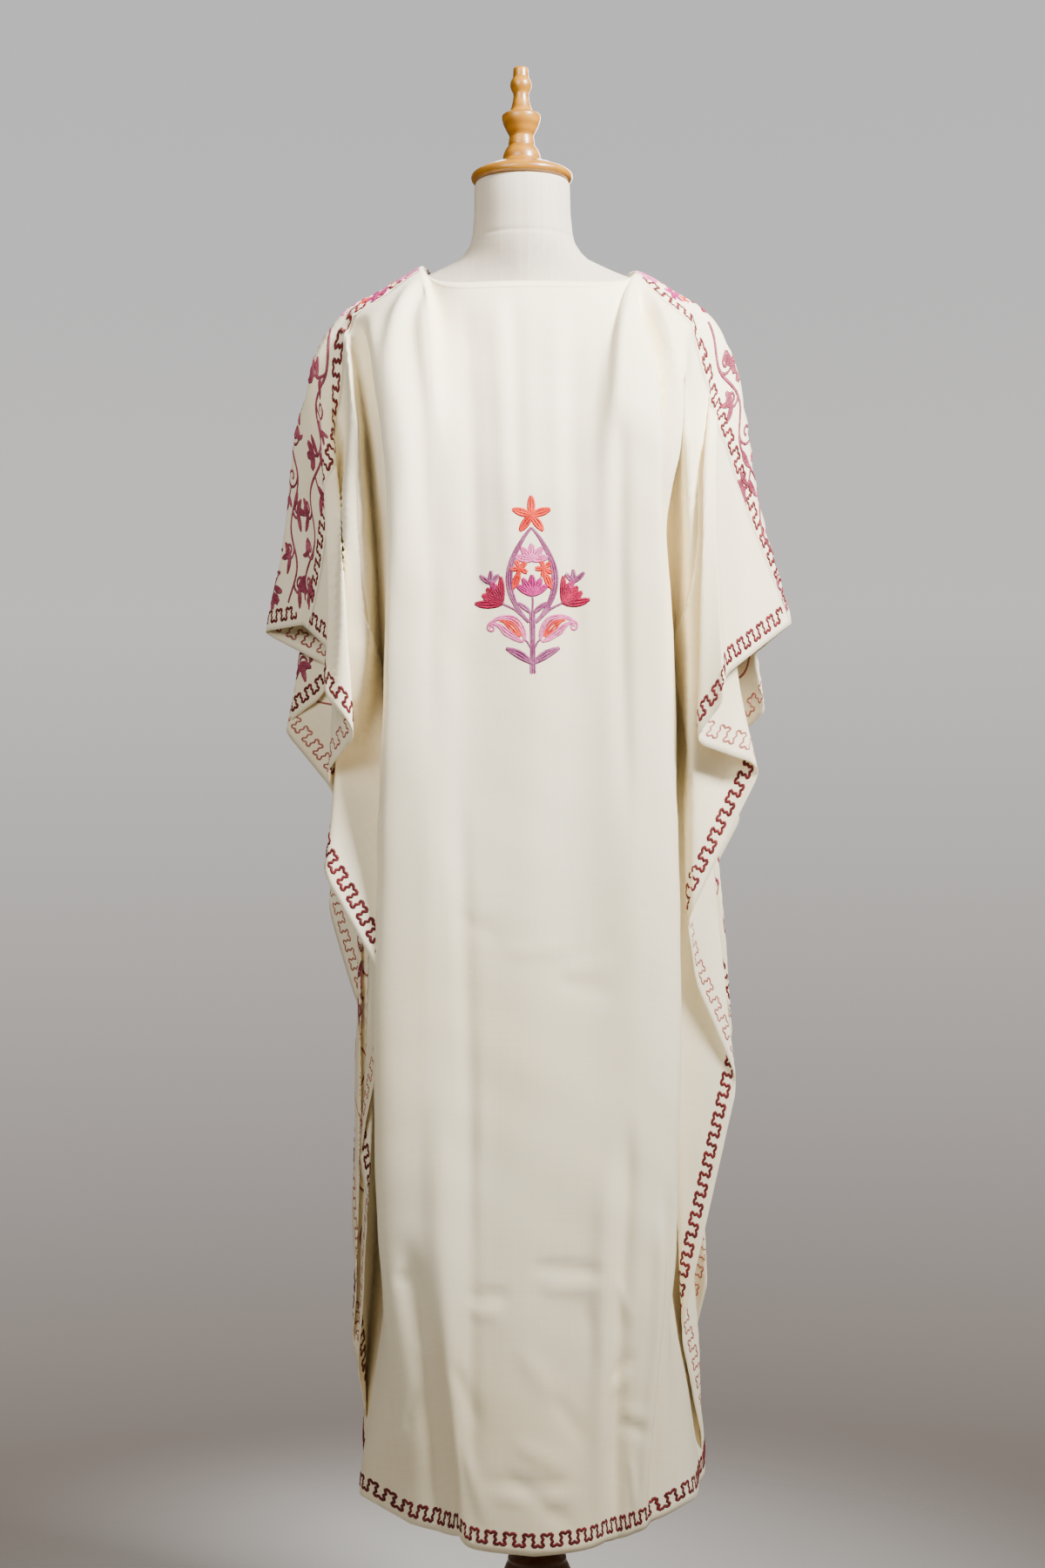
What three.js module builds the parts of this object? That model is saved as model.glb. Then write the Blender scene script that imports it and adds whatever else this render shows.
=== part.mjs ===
// A wide two-panel kaftan standing on a limbless dress form with a turned wooden stand.
// Millimetres, +Z up. The origin is on the floor, under the middle of the whole thing.
// The garment's back faces -Y, and +X is to the right of someone looking at its back.

import * as THREE from 'three';

// ---- driving dimensions of the cut -------------------------------------------------------------
// On the flat cloth, s runs across from the middle and t runs down from the neck point.
const HALF_WIDTH = 550;          // middle to free side edge
const NECK_HALF = 108;           // half the neck opening
const TIP_S = 200;               // where the shoulder line leaves the form's shoulder
const SHOULDER_SLOPE = 0.12;     // fall of the cut shoulder line for each unit across
const SEAM_S = 340;              // side seam, middle to stitching
const UNDERARM_T = 400;          // top end of the side seam
const EDGE_END_T = 1240;         // free side edge ends here, at the rounded hem corner
const HEM_T = 1345;              // the hem at the middle
const HEM_CURVE = [              // the hem is cut higher towards the sides
  { s: 0, t: HEM_T }, { s: 100, t: 1338 }, { s: 140, t: 1327 }, { s: TIP_S, t: 1302 }, { s: 250, t: 1285 },
  { s: 300, t: 1281 }, { s: SEAM_S, t: 1276 }, { s: 450, t: 1252 }, { s: HALF_WIDTH, t: EDGE_END_T },
];
const BACK_NECK_DROP = 25;       // how deep the back neck edge is cut
const FRONT_NECK_DROP = 90;      // how deep the front neck edge is cut
const WALL = 1.6;                // cloth with its embroidery
const SEAM_GAP = 0.3;            // between the two panels where they are joined

// ---- where the form carries it -----------------------------------------------------------------
const NECK_POINT = { x: 115, y: 0, z: 1595 };
const TIP = { x: 186, y: 0, z: 1559 };
const BACK_NECK = { y: -72, z: 1569 };
const FRONT_NECK = { y: 92, z: 1530 };
const NECK_CORNER = { back: 7, front: 2.6 };   // how suddenly a neck edge turns up at its ends
const NECK_BOW = 0.3;            // how much the neck edge comes in towards its ends
const SHOULDER_SAG = 5;          // the shoulder line between neck point and tip
const DRAPE_REACH = { back: 250, front: 210 };   // cloth length over which it turns from shoulder to plumb
const PLUMB_BY = 700;            // below that, the cloth comes to hang level over this length
const CAP_BULGE = 25;            // how far the round end of the shoulder pushes the flange out
const CAP_PEAK = 60;             // distance from the tip where it does so most
const SIDE_SLACK = 108;          // cloth taken up by the folds between the shoulder line and underarm
const FOLD_FADE = 110;           // folds of the flanges grow over this distance from the tip
const SEAM_FADE = 170;           // above the underarm, the cloth comes together over this distance
const EDGE_ROUNDING = 17;        // cloth length over which a flange fold turns at the free edge
const HEM_SLANT = 0.25;          // share of its rise that the sloping hem adds to its length

// Upright folds of the body between the side seams. Each row is one line of cloth at s, with its
// place in plan at the underarm, at the knee and at the hem.
const BACK_FOLDS = [
  { s: -340, armX: -168, armY: 10, kneeX: -158, kneeY: 28, hemX: -182, hemY: 18 },
  { s: -265, armX: -152, armY: -46, kneeX: -146, kneeY: -42, hemX: -190, hemY: -28 },
  { s: -200, armX: -166, armY: -112, kneeX: -163, kneeY: -98, hemX: -132, hemY: -82 },
  { s: -130, armX: -108, armY: -131, kneeX: -112, kneeY: -121, hemX: -88, hemY: -110 },
  { s: -75, armX: -62, armY: -123, kneeX: -62, kneeY: -126, hemX: -66, hemY: -124 },
  { s: 0, armX: 2, armY: -130, kneeX: 0, kneeY: -130, hemX: -4, hemY: -134 },
  { s: 65, armX: 58, armY: -124, kneeX: 60, kneeY: -128, hemX: 48, hemY: -128 },
  { s: 130, armX: 112, armY: -130, kneeX: 112, kneeY: -124, hemX: 80, hemY: -112 },
  { s: 200, armX: 163, armY: -110, kneeX: 150, kneeY: -98, hemX: 112, hemY: -106 },
  { s: 265, armX: 148, armY: -46, kneeX: 134, kneeY: -40, hemX: 166, hemY: -60 },
  { s: 340, armX: 164, armY: 10, kneeX: 152, kneeY: 28, hemX: 180, hemY: 4 },
];

const FRONT_FOLDS = [
  { s: -340, armX: -168, armY: 10, kneeX: -158, kneeY: 29, hemX: -182, hemY: 19.5 },
  { s: -265, armX: -158, armY: 88, kneeX: -152, kneeY: 92, hemX: -176, hemY: 84 },
  { s: -195, armX: -160, armY: 132, kneeX: -150, kneeY: 142, hemX: -150, hemY: 138 },
  { s: -120, armX: -96, armY: 150, kneeX: -92, kneeY: 146, hemX: -96, hemY: 152 },
  { s: -60, armX: -44, armY: 143, kneeX: -46, kneeY: 158, hemX: -60, hemY: 134 },
  { s: 0, armX: 4, armY: 150, kneeX: 4, kneeY: 150, hemX: -2, hemY: 156 },
  { s: 70, armX: 60, armY: 143, kneeX: 58, kneeY: 158, hemX: 54, hemY: 136 },
  { s: 130, armX: 108, armY: 149, kneeX: 102, kneeY: 146, hemX: 98, hemY: 154 },
  { s: 200, armX: 158, armY: 130, kneeX: 146, kneeY: 140, hemX: 146, hemY: 134 },
  { s: 270, armX: 154, armY: 84, kneeX: 142, kneeY: 90, hemX: 168, hemY: 76 },
  { s: 340, armX: 164, armY: 10, kneeX: 152, kneeY: 29, hemX: 180, hemY: 6.5 },
];

// Free edges of the flanges. Each row is where one fold reaches the edge: out is its distance from
// the middle, depth its place in y, height above the floor. The first row is the outer end of the
// shoulder line and the last one the hem corner.
const BACK_RIGHT_EDGE = [
  { out: 287, depth: 0, height: 1212 },
  { out: 198, depth: -118, height: 1146 },
  { out: 205, depth: -136, height: 1128 },
  { out: 169, depth: -106, height: 1081 },
  { out: 247, depth: -66, height: 1056 },
  { out: 165, depth: -58, height: 894 },
  { out: 178, depth: -36, height: 820 },
  { out: 221, depth: -24, height: 718 },
  { out: 157, depth: -24, height: 448 },
  { out: 182, depth: 8, height: 320 },
  { out: 178, depth: 26, height: 305 },
];
const FRONT_RIGHT_EDGE = [
  { out: 287, depth: 0, height: 1212 },
  { out: 216, depth: 66, height: 1152 },
  { out: 267, depth: 32, height: 1124 },
  { out: 190, depth: 100, height: 1040 },
  { out: 238, depth: 60, height: 1006 },
  { out: 173, depth: 40, height: 887 },
  { out: 227, depth: 76, height: 772 },
  { out: 184, depth: 104, height: 553 },
  { out: 196, depth: 78, height: 489 },
  { out: 168, depth: 112, height: 362 },
  { out: 174, depth: 88, height: 295 },
];
const BACK_LEFT_EDGE = [
  { out: 236, depth: 0, height: 1215 },
  { out: 196, depth: -74, height: 1176 },
  { out: 210, depth: -116, height: 1137 },
  { out: 174, depth: -126, height: 1096 },
  { out: 214, depth: -72, height: 1051 },
  { out: 194, depth: -34, height: 1010 },
  { out: 217, depth: -92, height: 952 },
  { out: 145, depth: -110, height: 823 },
  { out: 185, depth: -34, height: 638 },
  { out: 174, depth: -58, height: 583 },
  { out: 192, depth: 2, height: 415 },
  { out: 186, depth: 30, height: 349 },
];
const FRONT_LEFT_EDGE = [
  { out: 236, depth: 0, height: 1215 },
  { out: 292, depth: 76, height: 1213 },
  { out: 210, depth: 26, height: 1168 },
  { out: 223, depth: 36, height: 1140 },
  { out: 276, depth: 96, height: 1107 },
  { out: 213, depth: 44, height: 1032 },
  { out: 227, depth: 104, height: 903 },
  { out: 182, depth: 62, height: 766 },
  { out: 204, depth: 96, height: 566 },
  { out: 198, depth: 72, height: 480 },
  { out: 206, depth: 112, height: 398 },
  { out: 184, depth: 84, height: 343 },
];

// The loose hem between the hem corner and the foot of the side seam, by its place s on the cloth.
const FLANGE_HEM = {
  backRight: [{ s: 470, out: 188, depth: 66, height: 292 }, { s: 390, out: 187, depth: 18, height: 286 }],
  frontRight: [{ s: 470, out: 158, depth: 124, height: 288 }, { s: 390, out: 172, depth: 52, height: 284 }],
  backLeft: [{ s: 470, out: 193, depth: 74, height: 318 }, { s: 390, out: 190, depth: 32, height: 296 }],
  frontLeft: [{ s: 470, out: 166, depth: 132, height: 312 }, { s: 390, out: 176, depth: 66, height: 292 }],
};

// Mesh fineness of the cloth.
const BODY_COLUMNS = [0, 27, 54, 78, 96, NECK_HALF, 120, 140, 160, 180, TIP_S];
const ROWS = 14;
const ROW_GATHER = 1.25;         // above 1, the rows of the grid lie closer together towards the shoulders
const LONG_STRIP = 80;           // a flange strip wider than this at the rim gets a column in its middle

// ---- small helpers -----------------------------------------------------------------------------
const mix = (a, b, w) => a + (b - a) * w;
const clamp01 = (w) => Math.min(1, Math.max(0, w));
const smooth = (w) => {
  const c = clamp01(w);
  return c * c * (3 - 2 * c);
};
const mixPoint = (p, q, w) => ({ x: mix(p.x, q.x, w), y: mix(p.y, q.y, w), z: mix(p.z, q.z, w) });
const between = (p, q) => Math.hypot(q.x - p.x, q.y - p.y, q.z - p.z);

// Smooth curve through rows that are not evenly spaced: value of one column at s.
function alongRows(rows, column, s) {
  let i = 0;
  while (i < rows.length - 2 && s > rows[i + 1].s) i += 1;
  const slope = (k) => {
    const before = rows[Math.max(k - 1, 0)];
    const after = rows[Math.min(k + 1, rows.length - 1)];
    return (after[column] - before[column]) / (after.s - before.s);
  };
  const low = rows[i];
  const high = rows[i + 1];
  const span = high.s - low.s;
  const w = clamp01((s - low.s) / span);
  const w2 = w * w;
  const w3 = w2 * w;
  return (2 * w3 - 3 * w2 + 1) * low[column] + (w3 - 2 * w2 + w) * span * slope(i)
    + (3 * w2 - 2 * w3) * high[column] + (w3 - w2) * span * slope(i + 1);
}

// ---- outline of the flat cut -------------------------------------------------------------------
const shoulderT = (s) => SHOULDER_SLOPE * (Math.abs(s) - NECK_HALF);

function topT(panel, s) {
  const across = Math.abs(s);
  return across >= NECK_HALF ? shoulderT(s) : panel.neckDrop * (1 - (across / NECK_HALF) ** panel.corner);
}

const hemT = (s) => alongRows(HEM_CURVE, 't', Math.abs(s));

// ---- the body of one panel ---------------------------------------------------------------------
const KNEE_T = 950;

function bodyPlan(panel, s, t) {
  const down = clamp01((t - UNDERARM_T) / (KNEE_T - UNDERARM_T));
  const low = smooth((t - KNEE_T) / (HEM_T - KNEE_T));
  const at = (arm, knee, hem) => mix(
    mix(alongRows(panel.folds, arm, s), alongRows(panel.folds, knee, s), down),
    alongRows(panel.folds, hem, s), low);
  return { x: at('armX', 'kneeX', 'hemX'), y: at('armY', 'kneeY', 'hemY') };
}

// Top edge of the panel: the neck edge, the shoulder line on the form, then the hanging shoulder line.
function topPoint(panel, s) {
  const across = Math.abs(s);
  const hand = Math.sign(s) || 1;
  if (across < NECK_HALF) {
    const w = across / NECK_HALF;
    return {
      x: hand * NECK_POINT.x * w,
      y: mix(panel.neck.y * (1 - NECK_BOW * w * w), NECK_POINT.y, w ** NECK_CORNER.back),
      z: mix(panel.neck.z, NECK_POINT.z, w ** panel.corner),
    };
  }
  if (across <= TIP_S) {
    const w = (across - NECK_HALF) / (TIP_S - NECK_HALF);
    const p = mixPoint(NECK_POINT, TIP, w);
    return { x: hand * p.x, y: p.y, z: p.z - SHOULDER_SAG * w * w * (1 - w) };
  }
  const end = panel.flange[hand > 0 ? 'right' : 'left'].path[0];
  const w = (across - TIP_S) / (HALF_WIDTH - TIP_S);
  return mixPoint({ x: hand * TIP.x, y: TIP.y, z: TIP.z }, end, w);
}

function bodyPoint(panel, s, t) {
  const start = topPoint(panel, s);
  const fall = t - topT(panel, s);
  const wall = bodyPlan(panel, s, t);
  const turn = clamp01(fall / panel.reach) * Math.PI / 2;
  const side = clamp01((Math.abs(s) - TIP_S) / (SEAM_S - TIP_S));
  const slope = Math.hypot(wall.x - start.x, wall.y - start.y) / panel.reach * Math.PI / 2;
  // Cloth that goes outwards over the shoulder doesn't go down; further below it comes to hang level.
  const turned = panel.reach * (1 - Math.cos(turn)) * 2 / Math.PI;
  const plumb = smooth((fall - panel.reach) / PLUMB_BY);
  const outwards = slope * slope * (Math.min(fall, panel.reach) - turned) * (1 - plumb);
  const slack = SIDE_SLACK * smooth(fall / UNDERARM_T);
  return {
    x: mix(start.x, wall.x, Math.sin(turn)),
    y: mix(start.y, wall.y, Math.sin(turn)),
    z: start.z - fall + mix(outwards, slack, side),
  };
}

// ---- the flanges -------------------------------------------------------------------------------
const TIP_T = shoulderT(TIP_S);

// Where the ray at this angle from the shoulder tip leaves the flat cut.
function rimDistance(angle) {
  const c = Math.cos(angle);
  const toEdge = c > 1e-6 ? (HALF_WIDTH - TIP_S) / c : Infinity;
  if (TIP_T + toEdge * Math.sin(angle) <= EDGE_END_T) return toEdge;
  let near = 0;
  let far = HEM_T * 1.2;
  for (let i = 0; i < 30; i += 1) {
    const r = (near + far) / 2;
    const below = TIP_T + r * Math.sin(angle) > hemT(Math.min(HALF_WIDTH, TIP_S + r * c));
    if (below) far = r; else near = r;
  }
  return near;
}

// Length along the rim of the flat cut, from the end of the shoulder line to the ray at this angle.
function rimLength(angle) {
  const r = rimDistance(angle);
  const s = TIP_S + r * Math.cos(angle);
  const t = TIP_T + r * Math.sin(angle);
  const edge = EDGE_END_T - shoulderT(HALF_WIDTH);
  if (s >= HALF_WIDTH - 0.01) return t - shoulderT(HALF_WIDTH);
  return edge + (HALF_WIDTH - s) + HEM_SLANT * (t - EDGE_END_T);
}

// Turns the rows of one free edge into a path that carries its own cloth length.
function rimPath(rows, hemRows, hand, seamFoot) {
  const path = rows.map((row) => ({ x: hand * row.out, y: row.depth, z: row.height }));
  const edge = EDGE_END_T - shoulderT(HALF_WIDTH);
  let run = 0;
  path.forEach((point, i) => {
    run += i ? between(path[i - 1], point) : 0;
    point.run = run;
  });
  path.forEach((point) => { point.run *= edge / run; });
  hemRows.forEach((row) => {
    path.push({
      x: hand * row.out, y: row.depth, z: row.height,
      run: edge + (HALF_WIDTH - row.s) + HEM_SLANT * (hemT(row.s) - EDGE_END_T),
    });
  });
  path.push({ ...seamFoot, run: edge + (HALF_WIDTH - SEAM_S) + HEM_SLANT * (hemT(SEAM_S) - EDGE_END_T) });
  return path;
}

function onPath(path, run) {
  let i = 0;
  while (i < path.length - 2 && run > path[i + 1].run) i += 1;
  const w = clamp01((run - path[i].run) / (path[i + 1].run - path[i].run));
  return mixPoint(path[i], path[i + 1], w);
}

function roundedOnPath(path, run) {
  const reach = Math.min(EDGE_ROUNDING, run);
  const sum = { x: 0, y: 0, z: 0 };
  [-1, -0.5, 0, 0.5, 1].forEach((step) => {
    const p = onPath(path, run + step * reach);
    sum.x += p.x / 5;
    sum.y += p.y / 5;
    sum.z += p.z / 5;
  });
  return sum;
}

const SEAM_FOOT_RUN = rimLength(Math.atan2(hemT(SEAM_S) - TIP_T, SEAM_S - TIP_S));

// Cone of cloth that hangs from the shoulder tip: straight threads to the folded rim.
function conePoint(panel, hand, angle, r) {
  const flange = panel.flange[hand > 0 ? 'right' : 'left'];
  const tip = { x: hand * TIP.x, y: TIP.y, z: TIP.z };
  const full = rimDistance(angle);
  const run = rimLength(angle);
  const plumb = bodyPoint(panel, hand * TIP_S, hemT(TIP_S));
  let rim;
  if (run <= SEAM_FOOT_RUN) {
    rim = roundedOnPath(flange.path, run);
  } else {
    rim = mixPoint(flange.path[flange.path.length - 1], plumb, (run - SEAM_FOOT_RUN) / (SEAM_S - TIP_S));
  }
  const folded = mixPoint(tip, rim, r / full);
  const first = flange.path[0];
  const w = angle / (Math.PI / 2);
  const even = mixPoint(tip, mixPoint(first, { ...plumb, z: first.z }, w), r / (HALF_WIDTH - TIP_S));
  return mixPoint(even, folded, smooth(r / FOLD_FADE));
}

function panelPoint(panel, s, t) {
  if (Math.abs(s) <= TIP_S) return bodyPoint(panel, s, t);
  const hand = Math.sign(s);
  const across = Math.abs(s) - TIP_S;
  const angle = Math.atan2(t - TIP_T, across);
  const point = flangePoint(panel, s, t, hand, angle);
  const w = Math.hypot(across, t - TIP_T) / CAP_PEAK;
  point.x += hand * CAP_BULGE * w * Math.exp(1 - w) * Math.cos(angle) ** 2;
  return point;
}

function flangePoint(panel, s, t, hand, angle) {
  const cone = conePoint(panel, hand, angle, Math.hypot(Math.abs(s) - TIP_S, t - TIP_T));
  const sewn = smooth((t - UNDERARM_T) / SEAM_FADE + 1);
  if (Math.abs(s) <= SEAM_S) {
    const body = bodyPoint(panel, s, t);
    return mixPoint(cone, body, mix(sewn, 1, smooth((SEAM_S - Math.abs(s)) / (SEAM_S - TIP_S))));
  }
  const seamAngle = Math.atan2(t - TIP_T, SEAM_S - TIP_S);
  const seamOnCone = conePoint(panel, hand, seamAngle, Math.hypot(SEAM_S - TIP_S, t - TIP_T));
  const seam = bodyPoint(panel, hand * SEAM_S, t);
  const hold = sewn * clamp01(1 - (Math.abs(s) - SEAM_S) / (HALF_WIDTH - SEAM_S));
  return {
    x: cone.x + (seam.x - seamOnCone.x) * hold,
    y: cone.y + (seam.y - seamOnCone.y) * hold,
    z: cone.z + (seam.z - seamOnCone.z) * hold,
  };
}

function makePanel(face, folds, neck, neckDrop, edges) {
  const side = face === 'back' ? -1 : 1;
  const panel = {
    folds, neck, neckDrop, corner: NECK_CORNER[face], reach: DRAPE_REACH[face], side, flange: {},
  };
  const last = folds.length - 1;
  [['right', 1, folds[last]], ['left', -1, folds[0]]].forEach(([name, hand, seamRow]) => {
    const end = edges[name][0];
    panel.flange[name] = { path: [{ x: hand * end.out, y: end.depth, z: end.height }] };
    const foot = bodyPoint(panel, hand * SEAM_S, hemT(SEAM_S));
    foot.x = seamRow.hemX;
    foot.y = seamRow.hemY;
    panel.flange[name].path = rimPath(edges[name], edges[`${name}Hem`], hand, foot);
  });
  return panel;
}

const backPanel = makePanel('back', BACK_FOLDS, BACK_NECK, BACK_NECK_DROP, {
  right: BACK_RIGHT_EDGE, left: BACK_LEFT_EDGE, rightHem: FLANGE_HEM.backRight, leftHem: FLANGE_HEM.backLeft,
});
const frontPanel = makePanel('front', FRONT_FOLDS, FRONT_NECK, FRONT_NECK_DROP, {
  right: FRONT_RIGHT_EDGE, left: FRONT_LEFT_EDGE, rightHem: FLANGE_HEM.frontRight, leftHem: FLANGE_HEM.frontLeft,
});

// ---- cloth walls -------------------------------------------------------------------------------
const rowPlace = (row) => (row / ROWS) ** ROW_GATHER;

// Columns of the cloth grid, each a list of flat places from the top edge or the tip to the hem.
function clothColumns(panel) {
  const columns = [];
  const flangeColumn = (hand, angle) => {
    const full = rimDistance(angle);
    return Array.from({ length: ROWS + 1 }, (_, row) => {
      const r = full * rowPlace(row);
      return { s: hand * (TIP_S + r * Math.cos(angle)), t: TIP_T + r * Math.sin(angle) };
    });
  };
  flangeRuns(panel.flange.left.path).forEach((run) => columns.push(flangeColumn(-1, angleAtRun(run))));
  const left = BODY_COLUMNS.slice(1).reverse().map((s) => -s);
  [...left, ...BODY_COLUMNS].forEach((s) => {
    const top = topT(panel, s);
    columns.push(Array.from({ length: ROWS + 1 }, (_, row) => ({ s, t: mix(top, hemT(s), rowPlace(row)) })));
  });
  flangeRuns(panel.flange.right.path).reverse()
    .forEach((run) => columns.push(flangeColumn(1, angleAtRun(run))));
  return columns;
}

// Places along the rim, from the shoulder line to the body, where the flange has a column.
function flangeRuns(path) {
  const runs = [];
  path.forEach((point, i) => {
    if (i && point.run - path[i - 1].run > LONG_STRIP) runs.push((point.run + path[i - 1].run) / 2);
    runs.push(point.run);
  });
  runs.push(SEAM_FOOT_RUN + (SEAM_S - TIP_S) / 2);
  return runs;
}

function angleAtRun(run) {
  let low = 0;
  let high = Math.PI / 2;
  for (let i = 0; i < 40; i += 1) {
    const middle = (low + high) / 2;
    if (rimLength(middle) > run) high = middle; else low = middle;
  }
  return run <= 0 ? 0 : low;
}

// A closed wall of even thickness about the panel's own surface.
function clothWall(panel) {
  const columns = clothColumns(panel);
  const points = [];
  const index = columns.map((column) => column.map((place) => {
    const p = panelPoint(panel, place.s, place.t);
    const point = new THREE.Vector3(p.x, p.y + panel.side * (WALL + SEAM_GAP) / 2, p.z);
    const last = points.findIndex((other) => other.distanceTo(point) < 0.02);
    if (last >= 0) return last;
    points.push(point);
    return points.length - 1;
  }));
  const faces = [];
  const addFace = (a, b, c) => {
    if (a !== b && b !== c && a !== c) faces.push([a, b, c]);
  };
  for (let i = 0; i + 1 < index.length; i += 1) {
    for (let row = 0; row < ROWS; row += 1) {
      const [a, b] = [index[i][row], index[i + 1][row]];
      const [d, c] = [index[i][row + 1], index[i + 1][row + 1]];
      addFace(a, d, c);
      addFace(a, c, b);
    }
  }
  const normals = points.map(() => new THREE.Vector3());
  const [ab, ac, normal] = [new THREE.Vector3(), new THREE.Vector3(), new THREE.Vector3()];
  faces.forEach(([a, b, c]) => {
    ab.subVectors(points[b], points[a]);
    ac.subVectors(points[c], points[a]);
    normal.crossVectors(ab, ac).normalize();
    [a, b, c].forEach((v) => normals[v].add(normal));
  });
  normals.forEach((n) => n.normalize());

  const positions = [];
  points.forEach((p, i) => positions.push(...p.clone().addScaledVector(normals[i], WALL / 2)));
  points.forEach((p, i) => positions.push(...p.clone().addScaledVector(normals[i], -WALL / 2)));
  const under = points.length;
  const triangles = [];
  const rim = new Map();
  faces.forEach(([a, b, c]) => {
    triangles.push(a, b, c, under + a, under + c, under + b);
    [[a, b], [b, c], [c, a]].forEach(([from, to]) => {
      const back = `${to}_${from}`;
      if (rim.has(back)) rim.delete(back); else rim.set(`${from}_${to}`, [from, to]);
    });
  });
  rim.forEach(([from, to]) => {
    triangles.push(to, from, under + from, to, under + from, under + to);
  });
  const geometry = new THREE.BufferGeometry();
  geometry.setAttribute('position', new THREE.Float32BufferAttribute(positions, 3));
  geometry.setIndex(triangles);
  geometry.computeVertexNormals();
  return geometry;
}

// ---- the dress form ----------------------------------------------------------------------------
// Level sections of the padded torso: half width, half depth, how far forward its middle lies and how
// square it is, where 2 is an ellipse.
const TORSO_SECTIONS = [
  { z: 1688, wide: 50, deep: 50, forward: -8, square: 2 },
  { z: 1655, wide: 51, deep: 53, forward: -6, square: 2 },
  { z: 1622, wide: 56, deep: 56, forward: -3, square: 2 },
  { z: 1605, wide: 72, deep: 55, forward: -1, square: 1.7 },
  { z: 1593, wide: 100, deep: 53, forward: 0, square: 1.45 },
  { z: 1580, wide: 133, deep: 51, forward: 0, square: 1.35 },
  { z: 1566, wide: 160, deep: 52, forward: 0, square: 1.5 },
  { z: 1553, wide: 174, deep: 60, forward: 0, square: 1.7 },
  { z: 1530, wide: 178, deep: 74, forward: 2, square: 2 },
  { z: 1480, wide: 175, deep: 93, forward: 4, square: 2.2 },
  { z: 1400, wide: 162, deep: 108, forward: 8, square: 2.25 },
  { z: 1320, wide: 150, deep: 116, forward: 14, square: 2.25 },
  { z: 1240, wide: 134, deep: 101, forward: 8, square: 2.25 },
  { z: 1150, wide: 120, deep: 88, forward: 4, square: 2.2 },
  { z: 1060, wide: 128, deep: 98, forward: 2, square: 2.2 },
  { z: 960, wide: 134, deep: 110, forward: 2, square: 2.2 },
  { z: 880, wide: 131, deep: 108, forward: 2, square: 2.2 },
  { z: 820, wide: 122, deep: 100, forward: 2, square: 2.2 },
];
const TORSO_SIDES = 32;

function torsoGeometry() {
  const positions = [];
  const triangles = [];
  TORSO_SECTIONS.forEach((section) => {
    for (let i = 0; i < TORSO_SIDES; i += 1) {
      const angle = 2 * Math.PI * i / TORSO_SIDES;
      const [c, s] = [Math.cos(angle), Math.sin(angle)];
      const bend = (v) => Math.sign(v) * Math.abs(v) ** (2 / section.square);
      positions.push(section.wide * bend(c), section.forward + section.deep * bend(s), section.z);
    }
  });
  const rings = TORSO_SECTIONS.length;
  for (let ring = 0; ring + 1 < rings; ring += 1) {
    for (let i = 0; i < TORSO_SIDES; i += 1) {
      const j = (i + 1) % TORSO_SIDES;
      const [a, b] = [ring * TORSO_SIDES + i, ring * TORSO_SIDES + j];
      triangles.push(a, a + TORSO_SIDES, b, b, a + TORSO_SIDES, b + TORSO_SIDES);
    }
  }
  const top = positions.length / 3;
  positions.push(0, TORSO_SECTIONS[0].forward, TORSO_SECTIONS[0].z);
  positions.push(0, TORSO_SECTIONS[rings - 1].forward, TORSO_SECTIONS[rings - 1].z);
  for (let i = 0; i < TORSO_SIDES; i += 1) {
    const j = (i + 1) % TORSO_SIDES;
    const foot = (rings - 1) * TORSO_SIDES;
    triangles.push(top, i, j, top + 1, foot + j, foot + i);
  }
  const geometry = new THREE.BufferGeometry();
  geometry.setAttribute('position', new THREE.Float32BufferAttribute(positions, 3));
  geometry.setIndex(triangles);
  geometry.computeVertexNormals();
  return geometry;
}

// ---- turned wood -------------------------------------------------------------------------------
const GAP = 0.3;
const NECK_TOP = TORSO_SECTIONS[0].z;
const NECK_MIDDLE = TORSO_SECTIONS[0].forward;
const TURNED_SIDES = 24;

// Outlines of the turned pieces: radius and height above the piece's own foot.
const FINIAL_TURNING = [
  { r: 0, h: 0 }, { r: 50, h: 0 }, { r: 54, h: 2 }, { r: 55.5, h: 6 }, { r: 54, h: 10 }, { r: 46, h: 15 },
  { r: 32, h: 19 }, { r: 21, h: 21.5 }, { r: 20.5, h: 25 }, { r: 19.5, h: 32 }, { r: 16.5, h: 38 },
  { r: 13.6, h: 41 }, { r: 14.2, h: 43 }, { r: 13.2, h: 45 }, { r: 13.7, h: 47.5 }, { r: 12.2, h: 50 },
  { r: 15.5, h: 55 }, { r: 19.5, h: 63 }, { r: 21, h: 71 }, { r: 20.2, h: 74 }, { r: 13.5, h: 76.5 },
  { r: 10.5, h: 82 }, { r: 8.7, h: 90 }, { r: 8.4, h: 97 }, { r: 10.6, h: 101 }, { r: 11.7, h: 106 },
  { r: 10.8, h: 111 }, { r: 8.4, h: 114 }, { r: 8.2, h: 124 }, { r: 7.2, h: 125.5 }, { r: 0, h: 125.5 },
];
const HUB_FOOT = 70;
const HUB_TURNING = [
  { r: 0, h: 0 }, { r: 12, h: 0 }, { r: 20, h: 4 }, { r: 23, h: 12 }, { r: 20, h: 20 }, { r: 31, h: 24 },
  { r: 33, h: 30 }, { r: 33, h: 84 }, { r: 31, h: 88 }, { r: 36, h: 92 }, { r: 39.5, h: 100 },
  { r: 39.5, h: 110 }, { r: 35.5, h: 122 }, { r: 30.5, h: 134 }, { r: 21, h: 143 }, { r: 18, h: 147 },
  { r: 20, h: 151 }, { r: 18, h: 155 }, { r: 16.5, h: 160 }, { r: 0, h: 160 },
];
const POLE_RADIUS = 14;

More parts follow.
